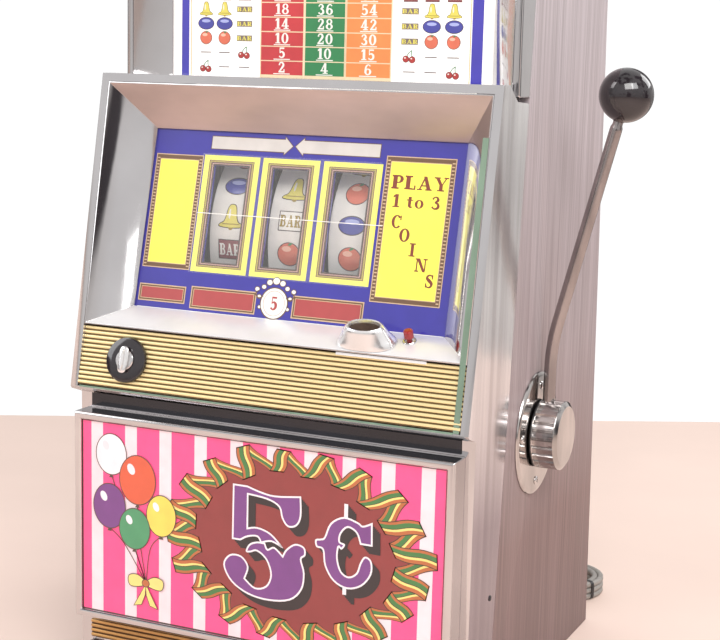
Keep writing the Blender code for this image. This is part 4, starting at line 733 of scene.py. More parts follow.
def screw_head(name, matrix, radius, body, look=CHROME_DULL):
    """A domed head with a cross slot, its local X out of the surface."""
    rise = radius * 0.42
    profile = [(0, 0), (radius, 0), (radius, rise * 0.35), (radius * 0.85, rise * 0.75), (radius * 0.5, rise),
               (0, rise * 1.02)]
    head = mesh_of(name, *turned(profile, 28))
    head.transform(matrix)
    put(name, head, body, [look, BLACK_SOFT], smooth=40)
    # painted shade: the cross slot is black boxes standing for the shade in the slot
    points, faces = [], []
    for turn in (0.35, 0.35 + math.pi / 2):
        faces += [tuple(len(points) + i for i in face) for face in BOX_FACES]
        cos, sin = math.cos(turn), math.sin(turn)
        for x in (rise * 0.72, rise * 1.06):
            for u, v in rect(-radius * 0.55, -radius * 0.08, radius * 0.55, radius * 0.08):
                points.append((x, u * cos - v * sin, u * sin + v * cos))
    slots = mesh_of(f"{name}_slot", points, faces)
    slots.transform(matrix)
    put(f"{name}_slot", slots, body, BLACK_SOFT)


# Door: chrome casing


def make_door():
    shell = rounded("door_shell", 0.0016, CHROME, "main_door", 3)
    # the side faces get the brighter chrome copy as painted light, with painted shade towards the foot
    shell.data.materials.append(painted_shade_below(
        SIDE_CHROME_LIT, (0.0, (0.32, 0.27, 0.30)), (0.20, (0.37, 0.32, 0.36)), (0.30, (0.76, 0.73, 0.75)),
        (0.42, (1, 1, 1))))
    for polygon in shell.data.polygons:
        polygon.material_index = int(abs(polygon.normal.x) > 0.8)
    bezel = rounded("console_bezel", 0.0008, CHROME, "main_door", 2)
    bezel.data.materials.append(SHELF_LIT)
    bezel.data.materials.append(SPLAY_REFLECTED)
    # by facing: upward shelf faces get painted light, the downward top splay a painted floor reflection
    for polygon in bezel.data.polygons:
        normal, z = polygon.normal, polygon.center.z
        if normal.z > 0.6 and z < GLASS_LOW[1] + 0.002:
            polygon.material_index = 1
        elif normal.z < -0.3 and normal.y < -0.2 and z > GLASS_HIGH[1] - 0.002:
            polygon.material_index = 2
    rounded("belly_frame", 0.0009, CHROME, "main_door", 3)
    rounded("payout_cup", 0.0006, CHROME_DULL, "main_door", 2)
    rounded("award_frame", 0.0010, CHROME, "cabinet", 3)
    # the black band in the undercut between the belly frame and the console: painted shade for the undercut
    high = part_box("belly_frame")[1]
    side = (high.x - 0.004) / MM
    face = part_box("door_shell")[0].y + 0.019 - 0.0012
    undercut = slope_frame((face, high.z + 0.0018), (face, high.z + 1))
    patch("recess_shade_band", UNDERCUT_SHADE, undercut, "main_door", (-side, 0, side, 12.5))
    # greenish cushion strip along the right and lower inside edges of the console rim
    rim = slope_frame((-0.1975, 0.2976), (-0.1404, 0.6010))
    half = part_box("console_bezel")[1].x / MM
    patch("console_edge_strip", GASKET, rim @ raised(0.0003), "main_door", (half - 6.6, 1.4, half - 0.9, 262),
          (-half + 2, 0.4, half - 6.6, 2.2))
    # raised lip of the coin shelf over the ribs
    section = ((0.0012, 0), (0.0040, 0), (0.0040, 0.0012), (0.0016, 0.0012))
    lip = mesh_of("shelf_lip", [(x, u, v) for x in (0.072, 0.161) for u, v in section], BOX_FACES)
    lip.transform(slope_frame((-0.1835, 0.3535), (-0.1790, 0.3700)))
    put("shelf_lip", lip, "main_door", SHELF_LIT)
    # small screw low on the chrome side
    screw_head("side_screw", along((1, 0, 0), (0.20845, -0.125, 0.1285)), 0.0028, "main_door", BLACK_SOFT)


make_door()

# one rib across: shares of the pitch, and heights in millimetres
RIB = ((0.0, 0.0), (0.16, 0.0), (0.26, 0.9), (0.40, 1.45), (0.58, 1.6), (0.76, 1.45), (0.90, 0.9))


def make_ribs(name, node, low, high, half, count, looks):
    """Ribs with painted shade darkening the grooves between them, as one formed sheet."""
    length = math.hypot(high[0] - low[0], high[1] - low[1])
    pitch = length / count
    profile = [(i * pitch + share * pitch, height * MM) for i in range(count) for share, height in RIB]
    # the flat grooves take the first look, painted shade; the ribs take the second
    tags = [0 if share < 0.2 or share > 0.85 else 1 for share, _ in RIB] * count
    profile.append((length, 0.0))
    rows = len(profile)
    points = [(x, s, h) for x in (-half, half) for s, h in profile]
    points += [(x, s, -0.0024) for x in (-half, half) for s in (0.0, length)]
    faces = [(i, i + 1, rows + i + 1, rows + i) for i in range(rows - 1)]
    end = 2 * rows
    faces += [(end, end + 1, end + 3, end + 2), (0, rows, end + 2, end),
              (rows - 1, end + 1, end + 3, end - 1), (*range(rows), end + 1, end),
              (*range(rows, end), end + 3, end + 2)]
    mesh = mesh_of(name, points, faces, tags + [1] * 5)
    mesh.transform(slope_frame(low, high) @ raised(-0.0017))
    put(name, mesh, "main_door", looks, (node,), 40)


GOLD = finish("rib_gold", rgb(243, 226, 172), 0.30, 0.45, 0.05, (8, 200, 200), rough_spread=0.07)
# painted shade: dark brown for the grooves between the gold ribs
RIB_GROOVE_SHADE = finish("rib_groove_painted_shade", rgb(112, 88, 52), 0.5, 0.1, 0.2, (20, 300, 300))
TAN = finish("strip_tan", rgb(206, 158, 96), 0.35, 0.4, 0.12, (14, 200, 200))
# painted shade: dark brown for the grooves between the tan ribs
STRIP_GROOVE_SHADE = finish("strip_groove_painted_shade", rgb(92, 60, 32), 0.5, 0.1, 0.2, (20, 300, 300))

strip_low, strip_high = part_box("lower_rib_strip")
strip_face = strip_low.y + 0.0016
make_ribs("rib_sheet", "rib_panel", (-0.19790, 0.3010), (-0.18300, 0.3570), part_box("rib_panel")[1].x, 13,
          [RIB_GROOVE_SHADE, GOLD])
make_ribs("lower_rib_sheet", "lower_rib_strip", (strip_face, strip_low.z), (strip_face, strip_high.z),
          strip_high.x, 4, [STRIP_GROOVE_SHADE, TAN])


# Key switch, coin entry, button


def make_controls():
    seat = along((0, -0.96669, 0.25594), (-0.1475, -0.19071, 0.32815))
    plate = [(0.0065, -0.006), (0.0065, 0.0036), (0.0085, 0.0040), (0.0200, 0.0038), (0.0214, 0.0032),
             (0.0222, 0.0018), (0.0222, 0.0004), (0.0085, 0.0004), (0.0085, -0.006)]
    turned_piece("key_plate", plate, seat, "main_door", BLACK, ("lock_plate",), 64, smooth=30)
    barrel = [(0, -0.018), (0.0062, -0.018), (0.0062, 0.0042), (0.0094, 0.0044), (0.0098, 0.0050),
              (0.0092, 0.0058), (0, 0.0062)]
    turned_piece("key_barrel", barrel, seat, "key_switch", CHROME_DULL, ("lock_barrel",), 40)
    # a flat oval thumb piece with a raised bar
    rings = [[(x, u, v) for u, v in squared(wide, tall, power, 32)] for wide, tall, x, power in (
        (0.0050, 0.0124, 0.0060, 0.62), (0.0053, 0.0128, 0.0066, 0.62), (0.0053, 0.0128, 0.0078, 0.62),
        (0.0044, 0.0119, 0.0085, 0.62), (0.0018, 0.0100, 0.0087, 0.8), (0.0016, 0.0097, 0.0100, 0.8),
        (0.0011, 0.0090, 0.0105, 0.8))]
    mesh = mesh_of("key_grip", *skin(rings, (0, len(rings) - 1)))
    mesh.transform(seat)
    put("key_grip", mesh, "key_switch", CUP, smooth=35)
    make_coin_entry()


def make_coin_entry():
    """A flared chrome cup with flats on its two sides and a dark funnel, and the button beside it."""
    seat = slope_frame((-0.18598, 0.3600), GLASS_LOW)
    outside, count = 9, 48  # rings up to where the funnel starts, and points in each
    rings = [[(0.0965 + u, 0.0175 + v, height) for u, v in squared(rx, ry, 2 / power, count)]
             for rx, ry, height, power in (
        (0.0288, 0.0165, 0.0004, 2.6), (0.0286, 0.0163, 0.0016, 2.6), (0.0262, 0.0152, 0.0052, 2.3),
        (0.0232, 0.0138, 0.0100, 2), (0.0204, 0.0124, 0.0146, 2), (0.0186, 0.0115, 0.0172, 2),
        (0.0172, 0.0104, 0.0182, 2), (0.0158, 0.0092, 0.0178, 2), (0.0150, 0.0084, 0.0150, 2),
        (0.0146, 0.0070, 0.0090, 2), (0.0142, 0.0050, 0.0040, 2))]
    points, faces = skin(rings, (len(rings) - 1,))
    funnel = finish("coin_funnel", rgb(126, 108, 98), 0.34, 0.6, 0.25, 120)
    mesh = mesh_of("coin_cup", points, faces, [int(i >= (outside - 1) * count) for i in range(len(faces))])
    mesh.transform(seat)
    put("coin_cup", mesh, "main_door", [CUP, funnel], ("coin_entry",), 45)
    # painted shade in the coin slot's opening
    patch("coin_slot_mouth", HOLE_SHADE, seat @ raised(0.0046), "main_door", (82.5, 16.0, 110.5, 19.4))
    seat = along((0, -0.39666, 0.91797), (0.1355, -0.16257, 0.37011))
    r = 0.0045
    cap = [(0, -0.010), (r * 0.55, -0.010), (r * 0.55, 0.0045), (r, 0.0045), (r, 0.0108),
           (r - 0.0007, 0.0118), (r - 0.0018, 0.0120), (0, 0.0120)]
    turned_piece("coin_return_cap", cap, seat, "coin_button", RED, ("coin_return_button",), 40)
    collar = [(0.0050, 0.0003), (0.0064, 0.0003), (0.0064, 0.0010), (0.0060, 0.0014), (0.0050, 0.0014)]
    turned_piece("coin_return_collar", collar, seat, "main_door", CHROME_DULL, (), 36)


make_controls()


# Symbols

FRUIT = inks(
    outline=("outline", 62, 42, 40), plum=("plum", 66, 68, 158), plum_light=("plum_light", 168, 176, 226),
    orange=("orange", 222, 112, 84), orange_light=("orange_light", 246, 190, 166),
    bell=("bell", 226, 214, 96), bell_dark=("bell_dark", 158, 134, 44), cherry=("cherry", 176, 52, 48),
    leaf=("leaf", 60, 132, 76), maroon=("maroon", 138, 66, 70), white=("white", 240, 238, 230))


def bell_outline(x, y, size):
    shape = [(0, 1.0), (0.20, 0.96), (0.34, 0.72), (0.42, 0.30), (0.50, -0.10), (0.66, -0.42),
             (0.98, -0.60), (0.98, -0.78), (0.0, -0.86), (-0.98, -0.78), (-0.98, -0.60), (-0.66, -0.42),
             (-0.50, -0.10), (-0.42, 0.30), (-0.34, 0.72), (-0.20, 0.96)]
    return [(x + u * size, y + v * size) for u, v in curved(shape, 3)]


def draw_symbol(sheet, kind, x, y, size, level=1):
    """A fruit-machine symbol about twice the size across, its parts placed in shares of the size."""

    def oval(dx, dy, rx, ry, look, above=0, count=32, turn=0.0):
        middle = (x + dx * size, y + dy * size)
        sheet.face(ellipse(*middle, rx * size, ry * size, count, turn), look, level + above)

    def block(x0, y0, x1, y1, look, above=0):
        sheet.face(rect(x + x0 * size, y + y0 * size, x + x1 * size, y + y1 * size), look, level + above)

    if kind == "plum":
        oval(0, 0, 1.16, 0.78, "outline")
        oval(0, 0, 1.08, 0.70, "plum", 1)
        oval(0, 0.30, 0.62, 0.20, "plum_light", 2, 20)
    elif kind == "orange":
        oval(0, 0, 1.02, 0.96, "outline")
        oval(0, 0, 0.95, 0.89, "orange", 1)
        oval(-0.2, 0.42, 0.42, 0.22, "orange_light", 2, 20)
        oval(0.12, 0.80, 0.22, 0.09, "leaf", 3, 12, 0.4)
    elif kind == "bell":
        sheet.face(grown(bell_outline(x, y, size), size * 0.07), "outline", level)
        oval(0, -0.86, 0.22, 0.20, "bell_dark", 1, 16)
        sheet.face(bell_outline(x, y, size), "bell", level + 2)
        block(-0.78, -0.62, 0.78, -0.54, "bell_dark", 3)
        oval(-0.18, 0.25, 0.09, 0.42, "white", 3, 14)
    elif kind == "cherry":
        for stem in (((-0.5, -0.2), (-0.1, 0.5), (0.4, 0.9)), ((0.45, -0.3), (0.35, 0.4), (0.4, 0.9))):
            points = curved([(x + dx * size, y + dy * size) for dx, dy in stem], 4, False)
            sheet.stroke(points, size * 0.12, "leaf", level)
        for dx, dy in ((-0.52, -0.34), (0.46, -0.42)):
            oval(dx, dy, 0.52, 0.50, "outline", 1, 22)
            oval(dx, dy, 0.46, 0.44, "cherry", 2, 22)
            oval(dx - 0.12, dy + 0.16, 0.14, 0.10, "white", 3, 12)
    else:
        look, letters = ("maroon", "white") if kind == "bar" else ("white", "bell_dark")
        block(-1.05, -0.80, 1.05, 0.80, "outline")
        block(-0.98, -0.73, 0.98, 0.73, look, 1)
        sheet.letters("BAR", x, y, size * 0.95, letters, level + 2, 0.66)


# Reels

REELS = {
    "reel_1": ("reel_left", "bell plum orange bar plum bell cherry orange plum bell "
               "orange cherry plum bar orange bell plum cherry orange bar"),
    "reel_2": ("reel_middle", "pale_bar bell plum orange cherry bell plum bar orange bell "
               "cherry plum orange bell bar plum cherry bell plum orange"),
    "reel_3": ("reel_right", "plum orange bell cherry orange plum bar orange bell plum "
               "orange bell cherry plum orange bar bell plum bell orange"),
}
GLASS_TILT = math.atan((GLASS_HIGH[0] - GLASS_LOW[0]) / (GLASS_HIGH[1] - GLASS_LOW[1]))


def make_reel(node, body, symbols):
    low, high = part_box(node)
    radius = (high.z - low.z) / 2
    middle = (Vector(low) + Vector(high)) / 2
    half = (high.x - low.x) / 2
    seat = Matrix.Translation(middle)
    inside = radius - 0.0018
    edge = 0.0003
    rim = [(inside, -half), (radius - edge, -half), (radius, -half + 0.0004), (radius, half - 0.0004),
           (radius - edge, half), (inside, half), (inside, 0.0011), (inside, -0.0011)]
    turned_piece(f"{node}_band", rim, seat, body, REEL_STRIP, (node,), 120)
    outlines = [ellipse(0, 0, inside / MM, inside / MM, 60)]
    for spoke in range(5):
        t = math.tau * spoke / 5
        outlines.append(ellipse(58 * math.cos(t), 58 * math.sin(t), 24, 24, 24))
    web = pierced(f"{node}_web", outlines, 1.1, -1.1)
    web.transform(seat @ Matrix.Rotation(math.pi / 2, 4, "Y") @ Matrix.Rotation(math.pi / 2, 4, "Z"))
    put(f"{node}_web", web, body, REEL_CORE)
    hub = [(0.0053, -half), (0.0120, -half), (0.0120, half), (0.0053, half)]
    turned_piece(f"{node}_hub", hub, seat, body, REEL_CORE, (), 32)
    sheet = Print(FRUIT)
    pitch = math.tau * radius / MM / len(symbols)
    for i, kind in enumerate(symbols):
        draw_symbol(sheet, kind, 0, (i if i <= len(symbols) / 2 else i - len(symbols)) * pitch, 12.2)

    def wrap(u, v, level):
        angle = GLASS_TILT + v * MM / radius
        reach = radius + 0.00006 + level * MM
        return (middle.x + u * MM, middle.y - reach * math.cos(angle), middle.z + reach * math.sin(angle))

    sheet.lay(f"{node}_symbols", None, body, wrap)


for reel_node, (reel_body, reel_symbols) in REELS.items():
    make_reel(reel_node, reel_body, reel_symbols.split())


# Reel glass


def make_reel_glass():
    low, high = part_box("reel_glass")
    foot = low.z + 0.004 * math.sin(GLASS_TILT)  # the glass is 4 mm thick, and leans back
    plate = slope_frame((low.y, foot), (low.y + math.tan(GLASS_TILT), foot + 1))
    art = plate @ Matrix.Translation((0, 0.0022, 0))
    looks = inks(
        # painted light: the two yellows glow
        blue=("deep_blue", 50, 44, 152), yellow=("yellow", 248, 242, 84, 0.12),
        frame=("frame_yellow", 238, 234, 96, 0.06), brown=("brown", 104, 74, 48),
        tan=("tan", 206, 176, 140), pink=("dusty_pink", 214, 170, 160),
        bars=("bar_red", 170, 66, 66), letters=("letters", 124, 48, 26), pale=("pale_grey", 206, 202, 198),
        white=("art_white", 244, 242, 236), olive=("olive", 176, 160, 62), edge=("window_edge", 66, 44, 34))
    holes = [(-96.0, 49.5, -59.0, 144.5), (-31.0, 49.5, 5.5, 144.5), (34.0, 49.5, 70.5, 144.5)]
    half = high.x / MM
    outlines = [rect(-half, -2.2, half, 180.0)] + [rect(*hole) for hole in holes]
    field = pierced("reel_glass_field", outlines, 0.0, -2.6)
    field.transform(art)
    put("reel_glass_field", field, "main_door", looks["blue"], ("reel_glass",))
    sheet = Print(looks)
    draw_windows(sheet, holes)
    draw_side_panels(sheet)
    draw_lower_band(sheet)
    sheet.lay("reel_glass_print", art @ raised(0.0001), "main_door")
    clear = finish("window_glass", (0.85, 0.9, 0.9), 0.03, 0.0, 0.02, 10, alpha=0.10, rough_spread=0.02)
    patch("reel_window_pane", clear, art @ raised(0.0012), "main_door", (-110, 38, 82, 156))


def framed(sheet, box, insets, fill):
    """A panel inside tan, brown and tan frames, each as wide as its inset."""
    for inset, look in zip(insets, ("tan", "brown", "tan")):
        x0, y0, x1, y1 = box
        inner = (x0 + inset, y0 + inset, x1 - inset, y1 - inset)
        sheet.ring(rect(*box), rect(*inner), look, 1)
        box = inner
    sheet.face(rect(*box), fill, 1)


def draw_windows(sheet, holes):
    flat = 0.82  # the frames are a little narrower above and below
    rings = ((12.2, 6.4, "frame"), (6.4, 5.5, "brown"), (5.5, 4.3, "olive"), (4.3, 2.5, "brown"),
             (2.5, 1.9, "pink"), (1.9, 0.0, "edge"))
    for x0, y0, x1, y1 in holes:
        for *sides, look in rings:
            sheet.ring(*(rect(x0 - by, y0 - by * flat, x1 + by, y1 + by * flat) for by in sides), look, 1)
    sheet.face(rect(-108, 96.6, 90, 97.3), "white", 22)


def draw_side_panels(sheet):
    for (x0, y0, x1, y1), step in (((-163, 40, -109.5, 153.5), 3.2), ((85.5, 26, 155.5, 163), 3.4)):
        framed(sheet, (x0, y0, x1, y1), (0.9, 3.8, 0.8), "yellow")
        y = y0 + 3.5
        while y < y1 - 3:
            for x in (x0 + 2.8, x1 - 2.8):
                sheet.face(rect(x - 1.4, y - 0.55, x + 1.4, y + 0.55), "tan", 2)
            y += step
    sheet.letters("PLAY", 121.5, 139.0, 13.0, "letters", 2, 1.12)
    sheet.letters("1 to 3", 120.5, 121.5, 12.2, "letters", 2, 1.12)
    for letter, x, y in zip("COINS", (103, 112.5, 122, 132.5, 142.5), (102, 90, 77, 63.5, 49.5)):
        sheet.letters(letter, x, y, 12.4, "letters", 2)
    # the two arrows above the windows
    arrow = ((0, 161), (80, 161), (80, 158.8), (88.4, 167), (80, 175.2), (80, 173), (0, 173))
    for start, way in ((-102, 1), (78, -1)):
        shape = [(start + way * x, y) for x, y in arrow]
        sheet.face(grown(shape, 0.7), "brown", 1)
        sheet.face(shape, "pale", 2)


def draw_lower_band(sheet):
    for box in ((-163, 6.5, -110, 23.5), (-104, 3.2, -32, 25), (7, 3.2, 81, 25)):
        framed(sheet, box, (1.1, 1.4, 0.6), "bars")
    sheet.face(rect(-163, -1.0, 163, 0.6), "white", 1)
    cx, cy = -12.4, 15.6
    sheet.face(ellipse(cx, cy, 15.0, 15.6, 48), "brown", 3)
    sheet.face(ellipse(cx, cy, 13.9, 14.5, 48), "white", 4)
    sheet.ring(ellipse(cx, cy, 11.6, 12.2, 48), ellipse(cx, cy, 11.0, 11.6, 48), "pink", 5)
    sheet.letters("5", cx, cy, 13.0, "bars", 5, 0.85)
    beads = ((0, 21.5, 4.4), (7, 19.6, 3.6), (12.5, 15.0, 3.0), (19.5, 12.4, 3.0), (16.5, 5.4, 2.7),
             (15.0, -4.5, 2.4))
    for away, dy, r in beads:
        for dx in (-away, away) if away else (0,):
            sheet.face(ellipse(cx + dx, cy + dy, r, r * 0.9, 18), "brown", 2)
            sheet.face(ellipse(cx + dx, cy + dy, r - 0.8, r * 0.9 - 0.8, 18), "white", 3)
    for side in (-1, 1):
        scroll = [(cx + side * dx, cy + dy) for dx, dy in ((12, 6), (17, 4), (20.5, 8), (18, 11))]
        sheet.stroke(curved(scroll, 5, False), 1.1, "brown", 4)


make_reel_glass()


# Belly glass

# Outlines in millimetres: a third value marks a corner
FIVE_TOP = [(-22, 225, 1), (-7, 225, 1), (6, 221.5), (22, 219.5), (48.5, 222.5, 1), (49, 204),
            (44.5, 194.5), (36, 192.5), (30, 199.5), (26.5, 210), (14, 215.5), (-6.5, 217.5, 1),
            (-6.5, 184.5, 1), (4, 186.5), (18, 182.5), (31, 171, 1), (19, 175.5), (8, 172.5, 1), (4, 178),
            (-6, 176.5), (-14, 172, 1), (-22.5, 172, 1)]
FIVE_BOWL = [(-7.5, 162), (-4, 169), (4, 172.5), (12, 172.5, 1), (15, 167), (22, 170), (31, 163, 1),
             (35, 170), (44, 176.5), (53, 174.5), (54, 167.5), (50, 163), (53.5, 150), (51, 134), (39, 122),
             (17, 118), (-5, 120.5), (-23, 130), (-31.5, 145), (-25, 155.5), (-13, 156), (-5.5, 147),
             (-9, 135, 1), (2, 127.5), (14, 131), (19, 143), (14, 157), (4, 164), (-3, 162)]
CENT = [(74, 188), (80, 202), (93, 209.5), (107, 206.5), (112, 204), (121, 208, 1), (121.5, 187, 1),
        (110, 187, 1), (106, 197), (97, 201), (90, 194), (89, 186), (94, 184), (91, 179.5), (88, 181),
        (87, 170), (91, 158), (99, 154), (107, 159), (110.5, 169), (115, 175.5), (121, 172), (121, 160),
        (112, 148), (98, 143), (84, 148), (75, 161), (72.5, 176), (66, 178), (65, 184), (70, 185.5)]


def make_belly():
    low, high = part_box("belly_glass")
    seat = slope_frame((low.y, 0.0), (low.y, 1.0))
    looks = inks(
        # painted light: the pinks and the red field glow
        pink=("hot_pink", 250, 76, 138, 0.10), pale=("pale_pink", 240, 218, 224, 0.06),
        field=("brick", 138, 48, 48, 0.03), green=("ribbon_green", 62, 122, 62),
        cream=("ribbon_cream", 240, 222, 130), orange=("ribbon_orange", 188, 104, 54),
        edge=("ribbon_edge", 66, 44, 32), purple=("purple", 120, 62, 134),
        white=("numeral_white", 244, 236, 242), shadow=("shadow", 30, 20, 26),
        balloon=("balloon_red", 222, 92, 58), string=("string", 86, 62, 52),
        yellow=("balloon_yellow", 244, 214, 92), teal=("balloon_green", 72, 150, 104))
    left, right = low.x / MM + 0.6, high.x / MM - 0.6
    bottom, top = low.z / MM + 0.5, high.z / MM - 0.5
    stripes = Print(looks)
    stripes.face(rect(left, bottom, right, top), "pink", 0)
    x = -181.2
    while x < right - 4:
        stripes.face(rect(x, bottom, min(x + 13.4, right), top), "pale", 1)
        x += 38.75
    # painted shade: a dark line round the glass's edge, under the frame's inner edge
    stripes.ring(rect(left, bottom, right, top), rect(-190.9, 75.2, 190.9, 266.3), "edge", 1.5)
    stripes.lay("belly_glass_stripes", seat @ raised(0.0001), "main_door")
    art = Print(looks)
    draw_burst(art)
    draw_numeral(art)
    draw_balloons(art)
    art.lay("belly_glass_print", seat @ raised(0.00025), "main_door")
    paint(looks["pink"], "belly_glass")


def burst_path():
    """A zigzag round an oval: every second turn is on the outside."""
    turns = 40
    found = []
    for i in range(turns):
        t = math.tau * (i + 0.35) / turns
        reach, lean = (1.16, 0.03) if i % 2 == 0 else (0.82, -0.03)
        reach += 0.035 * math.sin(3.1 * i) + 0.02 * math.sin(1.7 * i + 1)
        x, y = 42 + 122 * reach * math.cos(t + lean), 173 + 84 * reach * math.sin(t + lean)
        found.append((min(x, 186.0), min(max(y, 79.0), 264.0)))
    return found


RIBBON = ((-7.6, -6.7, "edge"), (-6.7, -3.2, "orange"), (-3.2, -0.8, "cream"), (-0.8, -0.1, "edge"),
          (-0.1, 4.2, "green"), (4.2, 6.7, "orange"), (6.7, 7.6, "edge"))


def draw_burst(art):
    """A red field inside a striped paper streamer, folded at each turn."""
    path = [Vector(point) for point in burst_path()]
    count = len(path)
    art.face(path, "field", 2)
    folds = [(path[(i + 1) % count] - path[i - 1]).normalized() for i in range(count)]
    for i in range(count):
        j = (i + 1) % count
        front = i % 2 == 0
        rows = []
        for step in range(9):
            t = step / 8
            side = folds[i].lerp(folds[j], t)
            wave = side * (1.3 if front else -1.3) * math.sin(math.tau * t)
            rows.append((path[i].lerp(path[j], t) + wave, side))
        for low, high, look in RIBBON:
            for (p, n), (q, m) in zip(rows, rows[1:]):
                art.face([p + n * low, q + m * low, q + m * high, p + n * high], look, 4 if front else 3)
        for (p, n) in (rows[0], rows[-1]):
            art.stroke([p - n * 7.6, p + n * 7.6], 0.9, "edge", 4.5)


def draw_numeral(art):
    shapes = [outline(points) for points in (FIVE_TOP, FIVE_BOWL, CENT)]
    shapes += [rect(93, 206, 96.8, 222.5), rect(93, 136.5, 96.8, 147)]
    for number, shape in enumerate(shapes):
        for k in range(1, 7):
            art.face([(x + 1.4 * k, y - 1.3 * k) for x, y in shape], "shadow", 5.5 + 0.4 * number + 0.06 * k)
    for k, shape in enumerate(shapes):
        art.face(shape, "purple" if k < 3 else "white", 8 - 0.1 * k)
        if k < 3:
            art.ring(grown(shape, 0.6), grown(shape, -1.1), "white", 9 - 0.1 * k)


def draw_balloons(art):
    """Five balloons on strings with a bow, in the lower left."""
    knot = (-118, 112)
    balloons = ((-158, 236, 17, 20, "white"), (-128, 214, 20, 24, "balloon"), (-160, 184, 18, 22, "purple"),
                (-101, 182, 16, 20, "yellow"), (-131, 165, 17, 20, "teal"))
    for x, y, _, ry, _ in balloons:
        string = [(x, y - ry), ((x + knot[0]) / 2 - 4, (y + knot[1]) / 2), knot]
        art.stroke(curved(string, 8, False), 0.9, "string", 5)
    for k, (x, y, rx, ry, look) in enumerate(balloons):
        level = 6 + 2 * k
        art.face([(x - 2.6, y - ry - 3.2), (x + 2.6, y - ry - 3.2), (x, y - ry + 1.5)], "string", level)
        art.face(ellipse(x, y, rx + 0.9, ry + 0.9, 40), "string", level + 0.4)
        art.face(ellipse(x, y, rx, ry, 40), look, level + 0.8)
        shine = ellipse(x - rx * 0.36, y + ry * 0.42, rx * 0.20, ry * 0.24, 18, 0.5)
        art.face(shine, "pale" if look == "white" else "white", level + 1.2)
    for side in (-1, 1):
        loop, tail = ([(knot[0] + side * dx, knot[1] + dy) for dx, dy in shape] for shape in (
            ((0, 0), (9, 7), (19, 5), (18, -4), (8, -4)), ((0, -1), (6, -12), (13, -24), (5, -22), (1, -12))))
        for shape, edge, level in ((curved(loop, 4), 0.8, 17), (tail, 0.7, 16)):
            art.face(grown(shape, edge), "string", level)
            art.face(shape, "cream", level + 0.5)
    art.face(ellipse(*knot, 4.6, 4.2, 20), "string", 18)
    art.face(ellipse(*knot, 3.8, 3.4, 20), "orange", 18.5)


make_belly()


# Award glass


def make_award():
    low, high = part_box("award_glass")
    seat = slope_frame((low.y, 0.0), (low.y, 1.0))
    looks = dict(FRUIT)
    looks.update(inks(
        # painted light: the white paper glows
        paper=("paper", 248, 246, 243, 0.22), blue=("award_blue", 66, 60, 176),
        red=("award_red", 196, 52, 58), green=("award_green", 40, 128, 74),
        amber=("award_amber", 244, 140, 74), line=("award_line", 236, 214, 176),
        grey=("award_grey", 120, 106, 104), gold=("award_gold", 214, 178, 96)))
    sheet = Print(looks)
    left, right = low.x / MM, high.x / MM
    sheet.face(rect(left, low.z / MM, right, high.z / MM), "paper", 0)
    for x0, x1 in ((-162.5, -154), (149, 160)):
        sheet.face(rect(x0, low.z / MM, x1, high.z / MM), "blue", 1)
    for x in (-152, 147.2):
        sheet.face(rect(x, low.z / MM, x + 0.8, high.z / MM), "gold", 1)
    columns = ((-72, -26, "red"), (-23.5, 18.6, "green"), (20.8, 67, "amber"))
    awards = (2, 5, 10, 14, 18, 20, 50, 100)  # for one coin, and twice and three times that for two and three
    pitch, start = 14.05, 602.6
    top = start + pitch * len(awards)
    for x0, x1, look in columns:
        sheet.face(rect(x0 - 1.2, start - 4, x1 + 1.2, top + 1.2), "line", 1)
        for i in range(len(awards)):
            y = start + pitch * i
            sheet.face(rect(x0, y + 0.5, x1, y + pitch - 0.5), look, 2)
    for i, award in enumerate(awards):
        y = start + pitch * (i + 0.5)
        for coins, (x0, x1, _) in enumerate(columns, 1):
            middle = (x0 + x1) / 2
            sheet.letters(str(award * coins), middle, y + 0.9, 10.2, "white", 3, 1.05)
            sheet.face(rect(middle - 9, y - 5.9, middle + 9, y - 5.0), "white", 3)
    kinds = ("cherry_one", "cherry_pair", "orange", "plum", "bell", "bar", "bar", "bar")
    for side, places in ((-1, (-134.5, -113.5, -91.0)), (1, (131.0, 108.5, 86.5))):
        for i, kind in enumerate(kinds):
            y = start + pitch * (i + 0.5)
            if kind.startswith("cherry"):
                spot = places[0] if kind == "cherry_one" else places[2]
                draw_symbol(sheet, "cherry", spot, y, 6.6)
                for x in places:
                    if x != spot:
                        sheet.face(rect(x - 6, y - 0.7, x + 6, y + 0.3), "grey", 1)
            elif kind == "bar":
                for x in places:
                    draw_symbol(sheet, "bar", x, y, 6.8)
            else:
                for x in places[:2]:
                    draw_symbol(sheet, kind, x, y, 8.0 if kind == "plum" else 6.8)
                sheet.face(rect(places[2] - 8.6, y - 2.9, places[2] + 8.6, y + 2.9), "grey", 1)
                sheet.letters("BAR", places[2], y, 4.0, "bell", 2, 1.4)
            ends = (places[0] + side * 8, places[2] - side * 8)
            sheet.face(rect(ends[0], y + pitch / 2 - 0.2, ends[1], y + pitch / 2 + 0.1), "line", 1)
    head = top + 3
    for x0, x1, look in ((-150, -76, "blue"), (-72, 67, "red"), (71, 144, "blue")):
        sheet.face(rect(x0, head, x1, head + 22), "gold", 1)
        sheet.face(rect(x0 + 1.5, head + 1.5, x1 - 1.5, head + 20.5), look, 2)
        count = 5 if look == "red" else 3
        for k in range(count):
            star(sheet, x0 + (x1 - x0) * (k + 0.5) / count, head + 11, 6.4, "gold", 3)
    sheet.lay("award_glass_print", seat @ raised(0.0001), "cabinet")
    paint(looks["paper"], "award_glass")


def star(sheet, x, y, size, look, level):
    points = []
    for i in range(10):
        t = math.pi / 2 + math.pi * i / 5
        r = size if i % 2 == 0 else size * 0.42
        points.append((x + r * math.cos(t), y + r * math.sin(t)))
    sheet.face(points, look, level)


make_award()


# Pull handle


